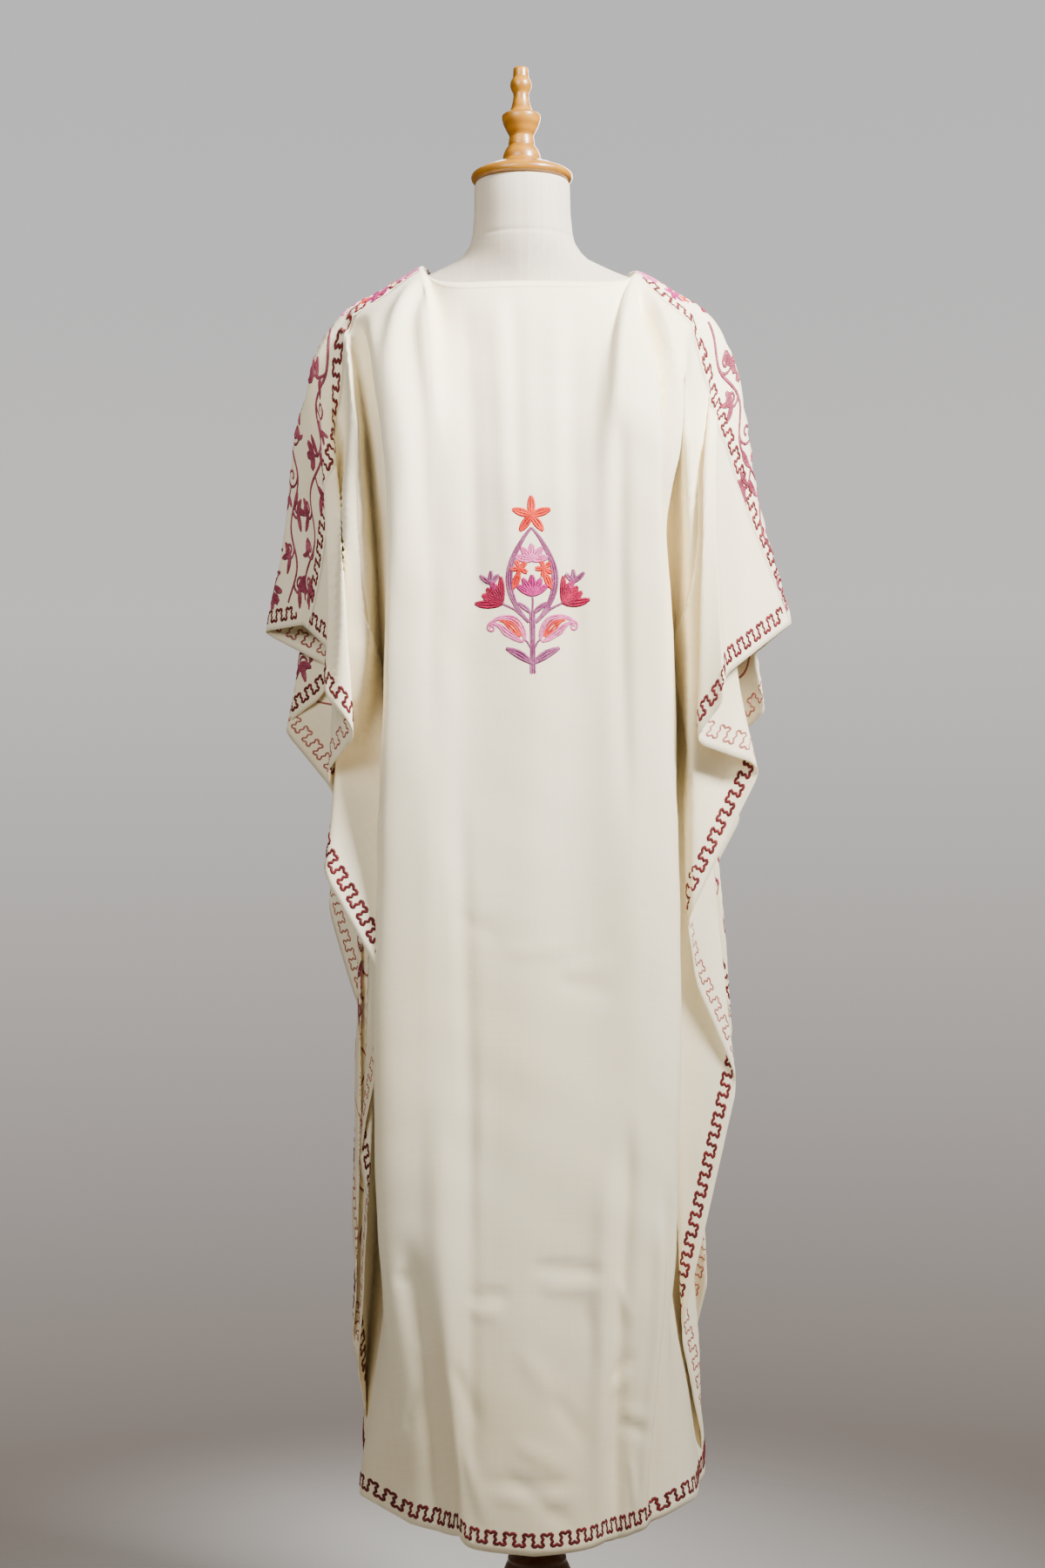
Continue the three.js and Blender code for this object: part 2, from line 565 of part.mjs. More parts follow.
function turnedPiece(rows) {
  const profile = rows.map((row) => new THREE.Vector2(row.r, row.h));
  const geometry = new THREE.LatheGeometry(profile, TURNED_SIDES);
  geometry.rotateX(Math.PI / 2);
  return geometry;
}

// ---- legs --------------------------------------------------------------------------------------
const LEG_COUNT = 4;
const LEG_THICKNESS = 26;
const LEG_REACH = 262;           // hub axis to the toe
const LEG_BEVEL = 2;
const FOOT_START = 206;          // the flat underside of the foot runs from here to the toe
const LEG_FIRST_ANGLE = 45;      // degrees round from +X
const FLAT_SIDE = HUB_TURNING.find((row) => row.h === 84).r;

function legGeometry() {
  const side = new THREE.Shape();
  side.moveTo(FLAT_SIDE + GAP, 152);
  side.bezierCurveTo(110, 150, 128, 40, 214, 26);
  side.bezierCurveTo(240, 24, LEG_REACH, 20, LEG_REACH, 8);
  side.lineTo(LEG_REACH, 0);
  side.lineTo(FOOT_START, 0);
  side.bezierCurveTo(128, 8, 96, 96, FLAT_SIDE + GAP, 98);
  side.lineTo(FLAT_SIDE + GAP, 152);
  const geometry = new THREE.ExtrudeGeometry(side, {
    depth: LEG_THICKNESS - 2 * LEG_BEVEL, bevelEnabled: true, bevelThickness: LEG_BEVEL,
    bevelSize: LEG_BEVEL, bevelOffset: -LEG_BEVEL, bevelSegments: 1, curveSegments: 12,
  });
  geometry.translate(0, 0, LEG_BEVEL - LEG_THICKNESS / 2);
  geometry.rotateX(Math.PI / 2);
  return geometry;
}

// ---- materials ---------------------------------------------------------------------------------
const ivoryCloth = new THREE.MeshStandardMaterial({ color: 0xece6d6, roughness: 0.85, metalness: 0 });
const formCover = new THREE.MeshStandardMaterial({ color: 0xd9d2c6, roughness: 0.9, metalness: 0 });
const honeyWood = new THREE.MeshStandardMaterial({ color: 0xc98f4a, roughness: 0.35, metalness: 0 });
const brownWood = new THREE.MeshStandardMaterial({ color: 0x5a3312, roughness: 0.4, metalness: 0 });

// ---- the whole thing ---------------------------------------------------------------------------
const kaftanOnForm = new THREE.Group();

function add(name, geometry, material, x = 0, y = 0, z = 0) {
  const mesh = new THREE.Mesh(geometry, material);
  mesh.name = name;
  mesh.position.set(x, y, z);
  kaftanOnForm.add(mesh);
  return mesh;
}

add('back_panel', clothWall(backPanel), ivoryCloth);
add('front_panel', clothWall(frontPanel), ivoryCloth);
add('torso', torsoGeometry(), formCover);
add('neck_cap_finial', turnedPiece(FINIAL_TURNING), honeyWood, 0, NECK_MIDDLE, NECK_TOP + GAP);

const hubTop = HUB_FOOT + HUB_TURNING[HUB_TURNING.length - 1].h;
const torsoFoot = TORSO_SECTIONS[TORSO_SECTIONS.length - 1].z;
const poleLength = torsoFoot - hubTop - 2 * GAP;
const poleGeometry = new THREE.CylinderGeometry(POLE_RADIUS, POLE_RADIUS, poleLength, TURNED_SIDES);
poleGeometry.rotateX(Math.PI / 2);
add('pole', poleGeometry, brownWood, 0, 0, hubTop + GAP + poleLength / 2);
add('hub', turnedPiece(HUB_TURNING), brownWood, 0, 0, HUB_FOOT);

for (let i = 0; i < LEG_COUNT; i += 1) {
  const leg = add(`leg_${i + 1}`, legGeometry(), brownWood);
  leg.rotation.z = THREE.MathUtils.degToRad(LEG_FIRST_ANGLE + 360 * i / LEG_COUNT);
}

export default kaftanOnForm;
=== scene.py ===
import math
import random

import bmesh
import bpy
import numpy as np
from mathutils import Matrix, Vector


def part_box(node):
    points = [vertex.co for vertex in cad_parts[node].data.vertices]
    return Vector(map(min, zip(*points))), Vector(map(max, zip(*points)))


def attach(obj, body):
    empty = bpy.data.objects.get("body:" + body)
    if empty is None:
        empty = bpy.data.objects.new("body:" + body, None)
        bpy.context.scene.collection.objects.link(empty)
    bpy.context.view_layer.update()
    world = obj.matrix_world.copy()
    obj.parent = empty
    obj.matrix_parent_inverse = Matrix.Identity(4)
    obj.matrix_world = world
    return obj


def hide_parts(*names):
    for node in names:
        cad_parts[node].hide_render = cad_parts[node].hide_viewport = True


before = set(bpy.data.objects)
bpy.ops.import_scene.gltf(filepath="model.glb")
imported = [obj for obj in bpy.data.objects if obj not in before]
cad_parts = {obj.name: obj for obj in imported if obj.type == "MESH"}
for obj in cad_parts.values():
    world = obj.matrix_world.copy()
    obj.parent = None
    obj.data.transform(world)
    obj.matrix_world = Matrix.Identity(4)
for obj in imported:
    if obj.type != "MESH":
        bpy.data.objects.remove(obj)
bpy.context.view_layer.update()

mm = 0.001
scene = bpy.context.scene

# The cloth is described flat first: s runs across from the middle and t down from the neck point,
# both in millimetres. The kaftan's back faces -Y.
halfWidth, neckHalf, tipS, seamS = 550, 108, 200, 340
underarmT, edgeEndT = 400, 1240
cut = {
    "shoulderSlope": 0.12, "kneeT": 950, "hemT": 1345,
    "neckDrop": {"back": 25, "front": 90}, "neckCorner": {"back": 7, "front": 2.6},
    "neckBow": 0.3, "wall": 1.6, "seamGap": 0.3, "hemSlant": 0.25,
}
drape = {
    "neckX": {1: 124, -1: 110}, "neckTop": {1: 1594, -1: 1602}, "tip": (186, 0, 1559), "shoulderSag": 2,
    "neckY": {"back": -72, "front": 92}, "neckZ": {"back": 1569, "front": 1530},
    "reach": {"back": 250, "front": 210}, "plumbBy": 700, "sideSlack": 108,
    "foldFade": 110, "seamFade": 170, "edgeRounding": 17, "wrapTurn": 12,
    "capBulge": {1: 25, -1: 37}, "capPeak": {1: 60, -1: 85},
}
hemCurve = {
    "s": (0, 100, 140, 200, 250, 300, 340, 450, 550),
    "t": (1345, 1338, 1327, 1302, 1285, 1281, 1276, 1252, 1240),
}
# How far the front panel reaches over the shoulder onto the back, along the shoulder line.
shoulderWrap = {
    "s": (0, 108, 140, 165, 200, 220, 240, 262, 290, 320, 350, 378, 400, 430, 476, 520, 550),
    "right": (14, 14, 40, 50, 51, 51, 54, 58, 57, 53, 45, 39, 34, 29, 19, 10, 4),
    "left": (14, 14, 26, 33, 27, 34, 48, 62, 77, 85, 82, 72, 62, 52, 42, 27, 15),
}
# The body's folds: each row is a place across the cloth and where it hangs at arm, knee and hem height.
foldColumns = ("s", "armX", "armY", "kneeX", "kneeY", "hemX", "hemY")
bodyFolds = {
    "back": (
        (-340, -168, 10, -158, 28, -182, 18),
        (-265, -152, -46, -146, -42, -190, -28),
        (-200, -166, -112, -163, -98, -132, -82),
        (-130, -108, -131, -112, -121, -88, -110),
        (-75, -62, -123, -62, -126, -66, -124),
        (0, 2, -130, 0, -130, -4, -134),
        (65, 58, -124, 60, -128, 48, -128),
        (130, 112, -130, 112, -124, 80, -112),
        (200, 163, -110, 150, -98, 112, -106),
        (265, 148, -46, 134, -40, 166, -60),
        (340, 164, 10, 152, 28, 180, 4),
    ),
    "front": (
        (-340, -168, 10, -158, 29, -182, 19.5),
        (-265, -158, 88, -152, 92, -176, 84),
        (-195, -160, 132, -150, 142, -150, 138),
        (-120, -96, 150, -92, 146, -96, 152),
        (-60, -44, 143, -46, 158, -60, 134),
        (0, 4, 150, 4, 150, -2, 156),
        (70, 60, 143, 58, 158, 54, 136),
        (130, 108, 149, 102, 146, 98, 154),
        (200, 158, 130, 146, 140, 146, 134),
        (270, 154, 84, 142, 90, 168, 76),
        (340, 164, 10, 152, 29, 180, 6.5),
    ),
}
# Free edges of the flanges: how far out, how deep in y and how high each fold reaches the edge.
freeEdges = {
    ("back", 1): (
        (287, 0, 1212), (198, -118, 1146), (205, -136, 1128), (169, -106, 1081), (247, -66, 1056),
        (165, -58, 894), (178, -36, 820), (221, -24, 718), (157, -24, 448), (182, 8, 320), (178, 26, 305),
    ),
    ("front", 1): (
        (287, 0, 1212), (216, 66, 1152), (267, 32, 1124), (190, 100, 1040), (238, 60, 1006),
        (173, 40, 887), (227, 76, 772), (184, 104, 553), (196, 78, 489), (168, 112, 362), (174, 88, 295),
    ),
    ("back", -1): (
        (236, 0, 1215), (196, -74, 1176), (210, -116, 1137), (174, -126, 1096), (214, -72, 1051),
        (194, -34, 1010), (217, -92, 952), (145, -110, 823), (185, -34, 638), (174, -58, 583),
        (192, 2, 415), (186, 30, 349),
    ),
    ("front", -1): (
        (236, 0, 1215), (292, 76, 1213), (210, 26, 1168), (223, 36, 1140), (276, 96, 1107),
        (213, 44, 1032), (227, 104, 903), (182, 62, 766), (204, 96, 566), (198, 72, 480),
        (206, 112, 398), (184, 84, 343),
    ),
}
# The loose hem between the hem corner and the side seam: s on the cloth, out, depth and height.
flangeHems = {
    ("back", 1): ((470, 188, 66, 292), (390, 187, 18, 286)),
    ("front", 1): ((470, 158, 124, 288), (390, 172, 52, 284)),
    ("back", -1): ((470, 193, 74, 318), (390, 190, 32, 296)),
    ("front", -1): ((470, 166, 132, 312), (390, 176, 66, 292)),
}


def smooth(w):
    c = np.clip(w, 0, 1)
    return c * c * (3 - 2 * c)


def lerp(a, b, w):
    return a + (b - a) * w


def alongRows(places, values, s):
    # smooth curve through rows that are not evenly spaced
    places = np.asarray(places, float)
    values = np.asarray(values, float)
    slopes = np.gradient(values)
    slopes[1:-1] = (values[2:] - values[:-2]) / (places[2:] - places[:-2])
    slopes[0] = (values[1] - values[0]) / (places[1] - places[0])
    slopes[-1] = (values[-1] - values[-2]) / (places[-1] - places[-2])
    i = np.clip(np.searchsorted(places, s, side="right") - 1, 0, len(places) - 2)
    span = places[i + 1] - places[i]
    w = np.clip((s - places[i]) / span, 0, 1)
    w2, w3 = w * w, w * w * w
    return ((2 * w3 - 3 * w2 + 1) * values[i] + (w3 - 2 * w2 + w) * span * slopes[i]
            + (3 * w2 - 2 * w3) * values[i + 1] + (w3 - w2) * span * slopes[i + 1])


def shoulderT(s):
    return cut["shoulderSlope"] * (np.abs(s) - neckHalf)


def topT(side, s):
    w = np.minimum(np.abs(s) / neckHalf, 1)
    neck = cut["neckDrop"][side] * (1 - w ** cut["neckCorner"][side])
    return np.where(np.abs(s) >= neckHalf, shoulderT(s), neck)


def hemT(s):
    return alongRows(hemCurve["s"], hemCurve["t"], np.abs(s))


def wrapT(s):
    # cloth of the front panel that lies behind the shoulder line
    across = np.abs(s)
    right, left = (alongRows(shoulderWrap["s"], shoulderWrap[hand], across) for hand in ("right", "left"))
    return np.where(s > 0, right, left) * np.minimum(across / neckHalf, 1) ** 12


def bodyPlan(side, s, t):
    folds = dict(zip(foldColumns, zip(*bodyFolds[side])))
    down = np.clip((t - underarmT) / (cut["kneeT"] - underarmT), 0, 1)
    low = smooth((t - cut["kneeT"]) / (cut["hemT"] - cut["kneeT"]))
    plan = []
    for axis in "XY":
        arm, knee, hem = (alongRows(folds["s"], folds[at + axis], s) for at in ("arm", "knee", "hem"))
        plan.append(lerp(lerp(arm, knee, down), hem, low))
    return plan


def topPoint(side, s):
    across = np.abs(s)
    neckX, neckTop = (np.where(s < 0, drape[name][-1], drape[name][1]) for name in ("neckX", "neckTop"))
    w = np.minimum(across / neckHalf, 1)
    behind = drape["neckY"][side] * (1 - cut["neckBow"] * w * w)
    neck = (neckX * w, lerp(behind, 0, w ** cut["neckCorner"]["back"]),
            lerp(drape["neckZ"][side], neckTop, w ** cut["neckCorner"][side]))
    tip = drape["tip"]
    v = np.clip((across - neckHalf) / (tipS - neckHalf), 0, 1)
    line = (lerp(neckX, tip[0], v), tip[1] * v,
            lerp(neckTop, tip[2], v) - drape["shoulderSag"] * v * v * (1 - v))
    u = np.clip((across - tipS) / (halfWidth - tipS), 0, 1)
    ends = (np.where(s > 0, *pair) for pair in zip(freeEdges[side, 1][0], freeEdges[side, -1][0]))
    flange = (lerp(place, end, u) for place, end in zip(tip, ends))
    x, y, z = (np.where(across < neckHalf, a, np.where(across <= tipS, b, c))
               for a, b, c in zip(neck, line, flange))
    return np.where(s < 0, -1.0, 1.0) * x, y, z


def bodyPoint(side, s, t):
    # the cloth turns over from the shoulder line and then hangs down along the table of folds
    x, y, z = topPoint(side, s)
    fall = np.maximum(t - topT(side, s), 0)
    wallX, wallY = bodyPlan(side, s, t)
    reach = drape["reach"][side]
    turn = np.clip(fall / reach, 0, 1) * math.pi / 2
    outTo = np.clip((np.abs(s) - tipS) / (seamS - tipS), 0, 1)
    slope = np.hypot(wallX - x, wallY - y) / reach * math.pi / 2
    turned = reach * (1 - np.cos(turn)) * 2 / math.pi
    plumb = smooth((fall - reach) / drape["plumbBy"])
    outwards = slope * slope * (np.minimum(fall, reach) - turned) * (1 - plumb)
    slack = drape["sideSlack"] * smooth(fall / underarmT)
    return np.stack([lerp(x, wallX, np.sin(turn)), lerp(y, wallY, np.sin(turn)),
                     z - fall + lerp(outwards, slack, outTo)], -1)


tipT = float(shoulderT(tipS))
edgeRun = edgeEndT - shoulderT(halfWidth)


def rimRun(s, t):
    # how far along the rim a place on the loose hem is, from the shoulder end of the side edge
    return edgeRun + halfWidth - s + cut["hemSlant"] * (t - edgeEndT)


def rimTables(rays=1500, halvings=40):
    # where the rays from the shoulder tip leave the flat cut, and how far that is along the rim
    angles = np.linspace(0, math.pi / 2, rays)
    c, s = np.cos(angles), np.sin(angles)
    toEdge = (halfWidth - tipS) / np.maximum(c, 1e-6)
    onEdge = tipT + toEdge * s <= edgeEndT
    near, far = np.zeros_like(angles), np.full_like(angles, cut["hemT"] * 1.2)
    for _ in range(halvings):
        r = (near + far) / 2
        below = tipT + r * s > hemT(np.minimum(halfWidth, tipS + r * c))
        far, near = np.where(below, r, far), np.where(below, near, r)
    distance = np.where(onEdge, toEdge, near)
    acrossAt, downAt = tipS + distance * c, tipT + distance * s
    run = np.where(onEdge, downAt - shoulderT(halfWidth), rimRun(acrossAt, downAt))
    return angles, distance, run


rimAngles, rimDistances, rimRuns = rimTables()


def lengthsAlong(line):
    return np.concatenate([[0], np.cumsum(np.linalg.norm(np.diff(line, axis=0), axis=1))])


def rimPath(side, hand):
    # one flange's side edge and loose hem in space, and how far along the rim each of its points is
    rows = np.array(freeEdges[side, hand], float) * (hand, 1, 1)
    runs = lengthsAlong(rows)
    folds = dict(zip(foldColumns, bodyFolds[side][-1 if hand > 0 else 0]))
    foot = bodyPoint(side, hand * seamS, hemT(seamS))
    hem = [(s, hand * out, deep, high) for s, out, deep, high in flangeHems[side, hand]]
    hem = np.array(hem + [(seamS, folds["hemX"], folds["hemY"], foot[2])], float)
    return (np.vstack([rows, hem[:, 1:]]),
            np.concatenate([runs * edgeRun / runs[-1], rimRun(hem[:, 0], hemT(hem[:, 0]))]))


rimPaths = {key: rimPath(*key) for key in freeEdges}
seamFootRun = rimPaths["back", 1][1][-1]


def onPath(path, runs, run):
    return np.stack([np.interp(run, runs, column) for column in path.T], -1)


def conePoint(side, hand, angle, r):
    # a flange as a cone from the shoulder tip to its rim
    path, runs = rimPaths[side, hand]
    tip = np.array(drape["tip"], float) * (hand, 1, 1)
    full = np.interp(angle, rimAngles, rimDistances)[..., None]
    run = np.interp(angle, rimAngles, rimRuns)
    plumb = bodyPoint(side, hand * tipS, hemT(tipS))
    rounding = np.minimum(drape["edgeRounding"], run)
    rim = sum(onPath(path, runs, run + step * rounding) for step in (-1, -0.5, 0, 0.5, 1)) / 5
    past = ((run - seamFootRun) / (seamS - tipS))[..., None]
    rim = np.where(past > 0, lerp(path[-1], plumb, past), rim)
    folded = lerp(tip, rim, r[..., None] / full)
    first = path[0]
    level = np.array([plumb[0], plumb[1], first[2]])
    w = (angle / (math.pi / 2))[..., None]
    even = lerp(tip, lerp(first, level, w), r[..., None] / (halfWidth - tipS))
    return lerp(even, folded, smooth(r / drape["foldFade"])[..., None])


def panelSheet(side, s, t):
    # where the flat place s, t of one panel lies in space, without its smaller creases
    s, t = np.asarray(s, float), np.asarray(t, float)
    body = bodyPoint(side, s, t)
    point = body.copy()
    for hand in (1, -1):
        out = hand * s > tipS
        if not out.any():
            continue
        so, to = np.abs(s[out]), t[out]
        angle = np.clip(np.arctan2(to - tipT, so - tipS), 0, math.pi / 2)
        r = np.hypot(so - tipS, to - tipT)
        cone = conePoint(side, hand, angle, r)
        sewn = smooth((to - underarmT) / drape["seamFade"] + 1)
        nearBody = smooth((seamS - so) / (seamS - tipS))
        inside = lerp(cone, body[out], lerp(sewn, 1, nearBody)[..., None])
        seamAngle = np.clip(np.arctan2(to - tipT, seamS - tipS), 0, math.pi / 2)
        seamOnCone = conePoint(side, hand, seamAngle, np.hypot(seamS - tipS, to - tipT))
        seam = bodyPoint(side, np.full_like(so, hand * seamS), to)
        hold = sewn * np.clip(1 - (so - seamS) / (halfWidth - seamS), 0, 1)
        outside = cone + (seam - seamOnCone) * hold[..., None]
        placed = np.where((so <= seamS)[..., None], inside, outside)
        # the round end of the shoulder pushes the top of the flange out
        w = r / drape["capPeak"][hand]
        placed[..., 0] += hand * drape["capBulge"][hand] * w * np.exp(1 - w) * np.cos(angle) ** 2
        point[out] = placed
    return point


def sidePoint(side, s, t):
    # as panelSheet, and the front panel goes on over the shoulder onto the back
    out = 1 if side == "front" else -1
    half = (cut["wall"] + cut["seamGap"]) / 2
    over = topT(side, s) - t
    point = panelSheet(side, s, np.maximum(t, topT(side, s)))
    point[..., 1] += out * half
    if side == "front":
        behind = (over > 0) & (np.abs(s) >= neckHalf)
        if behind.any():
            sb, ob = s[behind], over[behind]
            back = panelSheet("back", sb, topT("back", sb) + ob)
            back[..., 1] += half * (1 - 2 * np.clip(ob / drape["wrapTurn"], 0, 1))
            point[behind] = back
    return point


# Beside each arm the back turns in sooner than the form does, and the flange's first fold hangs forward:
# rows of height, inner side, outer side and depth.
bodyInset = {
    "s": 202, "spread": (26, 45), "t": (60, 120, 200, 270, 340, 430, 500, 620, 760, 900),
    1: (0, -6, -14, -26, -27, -21, -13, -4, 0, 0), -1: (0, -6, -14, -22, -24, -20, -14, -8, -2, 0),
}
armFolds = {
    "depths": (-128, -10, 60), "edges": {1: (8, 58), -1: (8, 9)},
    1: ((820, 163, 200, 0), (900, 163, 205, 30), (1000, 163, 215, 50), (1080, 162, 220, 70),
        (1150, 161, 228, 80), (1275, 161, 232, 80), (1400, 160, 228, 66), (1450, 160, 222, 34),
        (1500, 160, 214, 0)),
    -1: ((1080, 172, 203, 0), (1130, 164, 203, 66), (1185, 157, 203, 84), (1275, 160, 199, 88),
         (1347, 164, 196, 88), (1418, 167, 191, 84), (1445, 171, 191, 76), (1475, 175, 192, 60),
         (1505, 180, 195, 38), (1535, 185, 200, 0)),
}


def hangArms(side, s, t, points):
    for hand in (1, -1):
        if side == "back":
            off = hand * s - bodyInset["s"]
            spread = np.where(off < 0, *bodyInset["spread"])
            rows = bodyInset["t"]
            turnedIn = alongRows(rows, bodyInset[hand], np.clip(t, rows[0], rows[-1]))
            points[..., 0] += hand * turnedIn * np.exp(-(off / spread) ** 2)
        levels, *columns = zip(*armFolds[hand])
        inner, outer, depth = (np.interp(points[..., 2], levels, column) for column in columns)
        out = hand * points[..., 0]
        rise, fall = armFolds["edges"][hand]
        w = smooth((out - inner) / rise) * smooth((outer - out) / fall)
        points[..., 1] -= depth * w * np.interp(points[..., 1], armFolds["depths"], (0, 1, 0))
    return points


# Creases of each panel: from s, t to s, t on the flat cloth, how wide and how deep. A negative
# depth is a trough and a positive one a ridge.
creases = {
    "back": (
        (-60, 820, -66, 1300, 10, 1.4), (20, 760, 110, 780, 8, -1.4), (-40, 730, 60, 722, 8, 1.4),
        (30, 752, 104, 742, 7, 1.2), (-94, 700, -30, 716, 8, -1.1),
        (-12, 1050, 96, 1058, 6, -3.2), (2, 1070, 92, 1070, 6, 2.4), (-88, 1082, -20, 1080, 5, -3),
        (-84, 1096, -30, 1098, 6, 1.8), (96, 1060, 132, 1110, 7, 2.6), (100, 1172, 148, 1132, 7, -3),
        (96, 1186, 142, 1152, 7, 2), (118, 1214, 196, 1206, 5, -3.2), (124, 1196, 188, 1190, 6, 2),
        (-178, 1052, -154, 1054, 5, -3), (-196, 1206, -158, 1168, 6, -2.6),
        (-168, 1120, -130, 1150, 7, 1.6),
        (-70, 1270, 80, 1276, 5, -2.4), (-64, 1284, 70, 1290, 6, 1.6), (-44, 1256, 70, 1334, 9, -2.6),
        (-30, 1226, 60, 1262, 9, 1.8), (10, 1300, 60, 1262, 8, 1.8), (-90, 1230, -50, 1320, 10, 2),
        (-110, 1150, -60, 1230, 12, -2), (20, 1180, 70, 1240, 10, -2), (-20, 1130, 34, 1190, 12, 1.6),
        (60, 1080, 76, 1180, 11, -1.8), (150, 1230, 186, 1300, 8, 2.2), (-150, 1240, -120, 1310, 9, -2),
    ),
    "front": (
        (-20, 900, 60, 880, 8, 1.4), (20, 1090, 90, 1066, 6, -2.4), (-90, 1060, -40, 1080, 6, -2.4),
        (-30, 1200, 40, 1260, 9, 1.8), (70, 1180, 120, 1240, 8, -2.2), (-60, 1240, 30, 1246, 6, -2),
        (-120, 1150, -70, 1200, 10, 2), (30, 740, 110, 756, 8, -1.4), (-100, 700, -20, 716, 8, 1.4),
    ),
}

# Folds that run down each panel: the line of the fold as t, s down the cloth, then its width, or
# its width before and after the line, and its depth.
runningFolds = {
    "back": (
        (((26, -207), (80, -204), (124, -203), (198, -205), (300, -206)), (8, 12), -15),
        (((198, -207), (286, -206), (420, -206), (600, -206)), (9, 15), -6),
        (((70, 206), (160, 208), (300, 212), (420, 222), (600, 226)), 13, 9),
        (((60, -182), (150, -178), (286, -160), (420, -150)), 14, 5),
        (((40, 121), (100, 148), (130, 164), (176, 178), (220, 188), (300, 198), (400, 202)), (13, 6), -19),
        (((50, 136), (104, 163), (138, 179), (190, 196), (290, 210)), 7, 9),
        (((90, 206), (170, 232), (300, 246), (430, 250)), 8, -6),
        (((40, -122), (145, -156), (260, -146), (360, -140)), 12, 6.5),
        (((40, -106), (120, -134), (240, -128), (400, -128)), 11, -6),
        (((34, -93), (200, -104), (437, -118), (620, -120)), 16, -5),
        (((36, -64), (200, -66), (420, -62)), 11, -3), (((40, -30), (220, -26), (380, -22)), 12, 2.6),
        (((36, -10), (180, -12), (300, -15)), 10, -2.6), (((40, 30), (240, 36), (420, 40)), 12, 2.4),
        (((24, 84), (120, 90), (230, 96), (380, 100)), 15, 4), (((50, 66), (260, 70), (500, 72)), 14, 2.8),
        (((240, 112), (420, 110), (640, 116)), 12, -4.5),
        (((960, 176), (1080, 196), (1180, 206), (1350, 212)), 9, -8),
        (((980, 158), (1160, 182), (1350, 196)), 11, 4),
        (((900, 112), (1060, 108), (1210, 122), (1350, 140)), 13, -7),
        (((940, 84), (1100, 82), (1350, 96)), 15, 4),
        (((1010, -158), (1160, -150), (1350, -160)), 15, -7),
        (((880, -110), (1120, -112), (1350, -104)), 16, 4),
        (((560, -86), (900, -78), (1340, -72)), 11, -3),
    ),
    "front": (
        (((30, -130), (180, -176), (420, -190), (760, -190)), 13, -9),
        (((30, 130), (180, 176), (420, 190), (760, 190)), 13, -9),
        (((90, 60), (300, 64), (700, 56)), 16, -3), (((90, -56), (320, -60), (720, -54)), 16, -3),
        (((110, 20), (420, 16), (820, 24)), 18, 2.4), (((60, 96), (320, 108), (700, 104)), 15, 3.4),
        (((60, -96), (320, -106), (740, -100)), 15, 3.4), (((760, 120), (1000, 128), (1330, 134)), 15, -5),
        (((720, -122), (1000, -126), (1330, -132)), 15, -5),
        (((860, 30), (1100, 26), (1340, 34)), 17, -2.4),
    ),
}


foldEnds = {"past": 0.04, "rise": 0.2, "fall": 0.34}


def runDepth(side, s, t):
    depth = np.zeros_like(s)
    for path, width, height in runningFolds[side]:
        down, across = zip(*path)
        place = alongRows(down, across, np.clip(t, down[0], down[-1]))
        u = (t - down[0]) / (down[-1] - down[0])
        fade = smooth((u + foldEnds["past"]) / foldEnds["rise"])
        fade *= smooth((1 + foldEnds["past"] - u) / foldEnds["fall"])
        before, after = np.broadcast_to(width, 2)
        depth += height * fade * np.exp(-((s - place) / np.where(s < place, before, after)) ** 2)
    return depth


creaseShape = {"bow": 0.018, "rise": 0.28, "fall": 0.4, "narrow": 0.75, "wider": 0.5}


def creaseDepth(side, s, t):
    depth = np.zeros_like(s)
    for s0, t0, s1, t1, width, height in creases[side]:
        ds, dt = s1 - s0, t1 - t0
        length = math.hypot(ds, dt)
        u = ((s - s0) * ds + (t - t0) * dt) / length ** 2
        within = np.clip(u, 0, 1)
        bow = creaseShape["bow"] * length * np.sin(within * math.pi) * (1 if height > 0 else -1)
        v = ((s - s0) * dt - (t - t0) * ds) / length + bow
        fade = smooth(u / creaseShape["rise"]) * smooth((1 - u) / creaseShape["fall"])
        spread = width * (creaseShape["narrow"] + creaseShape["wider"] * within)
        depth += height * fade * np.exp(-(v / spread) ** 2)
    return depth


def unevenness(s, t, seed, waves=16, height=0.16):
    # broad, shallow waves that no pressed cloth is without
    rng = random.Random(seed)
    depth = np.zeros_like(s)
    for _ in range(waves):
        across, down = rng.uniform(-1, 1), rng.uniform(-0.55, 0.55)
        wave = rng.uniform(60, 210)
        size = math.hypot(across, down) or 1
        phase = rng.uniform(0, 2 * math.pi)
        place = (s * across + t * down) / (wave * size)
        depth += height * (wave / 100) * np.sin(2 * math.pi * place + phase)
    return depth


def unit(vectors):
    return vectors / np.maximum(np.linalg.norm(vectors, axis=-1, keepdims=True), 1e-9)


def surfaceNormals(points):
    return unit(np.cross(np.gradient(points, axis=1), np.gradient(points, axis=0)))


clothPlan = {
    "rows": 184, "flange": 65, "shoulder": 19, "neck": 43, "edgeFade": 30, "thick": 0.0009,
    "seeds": {"back": 7, "front": 11},
}


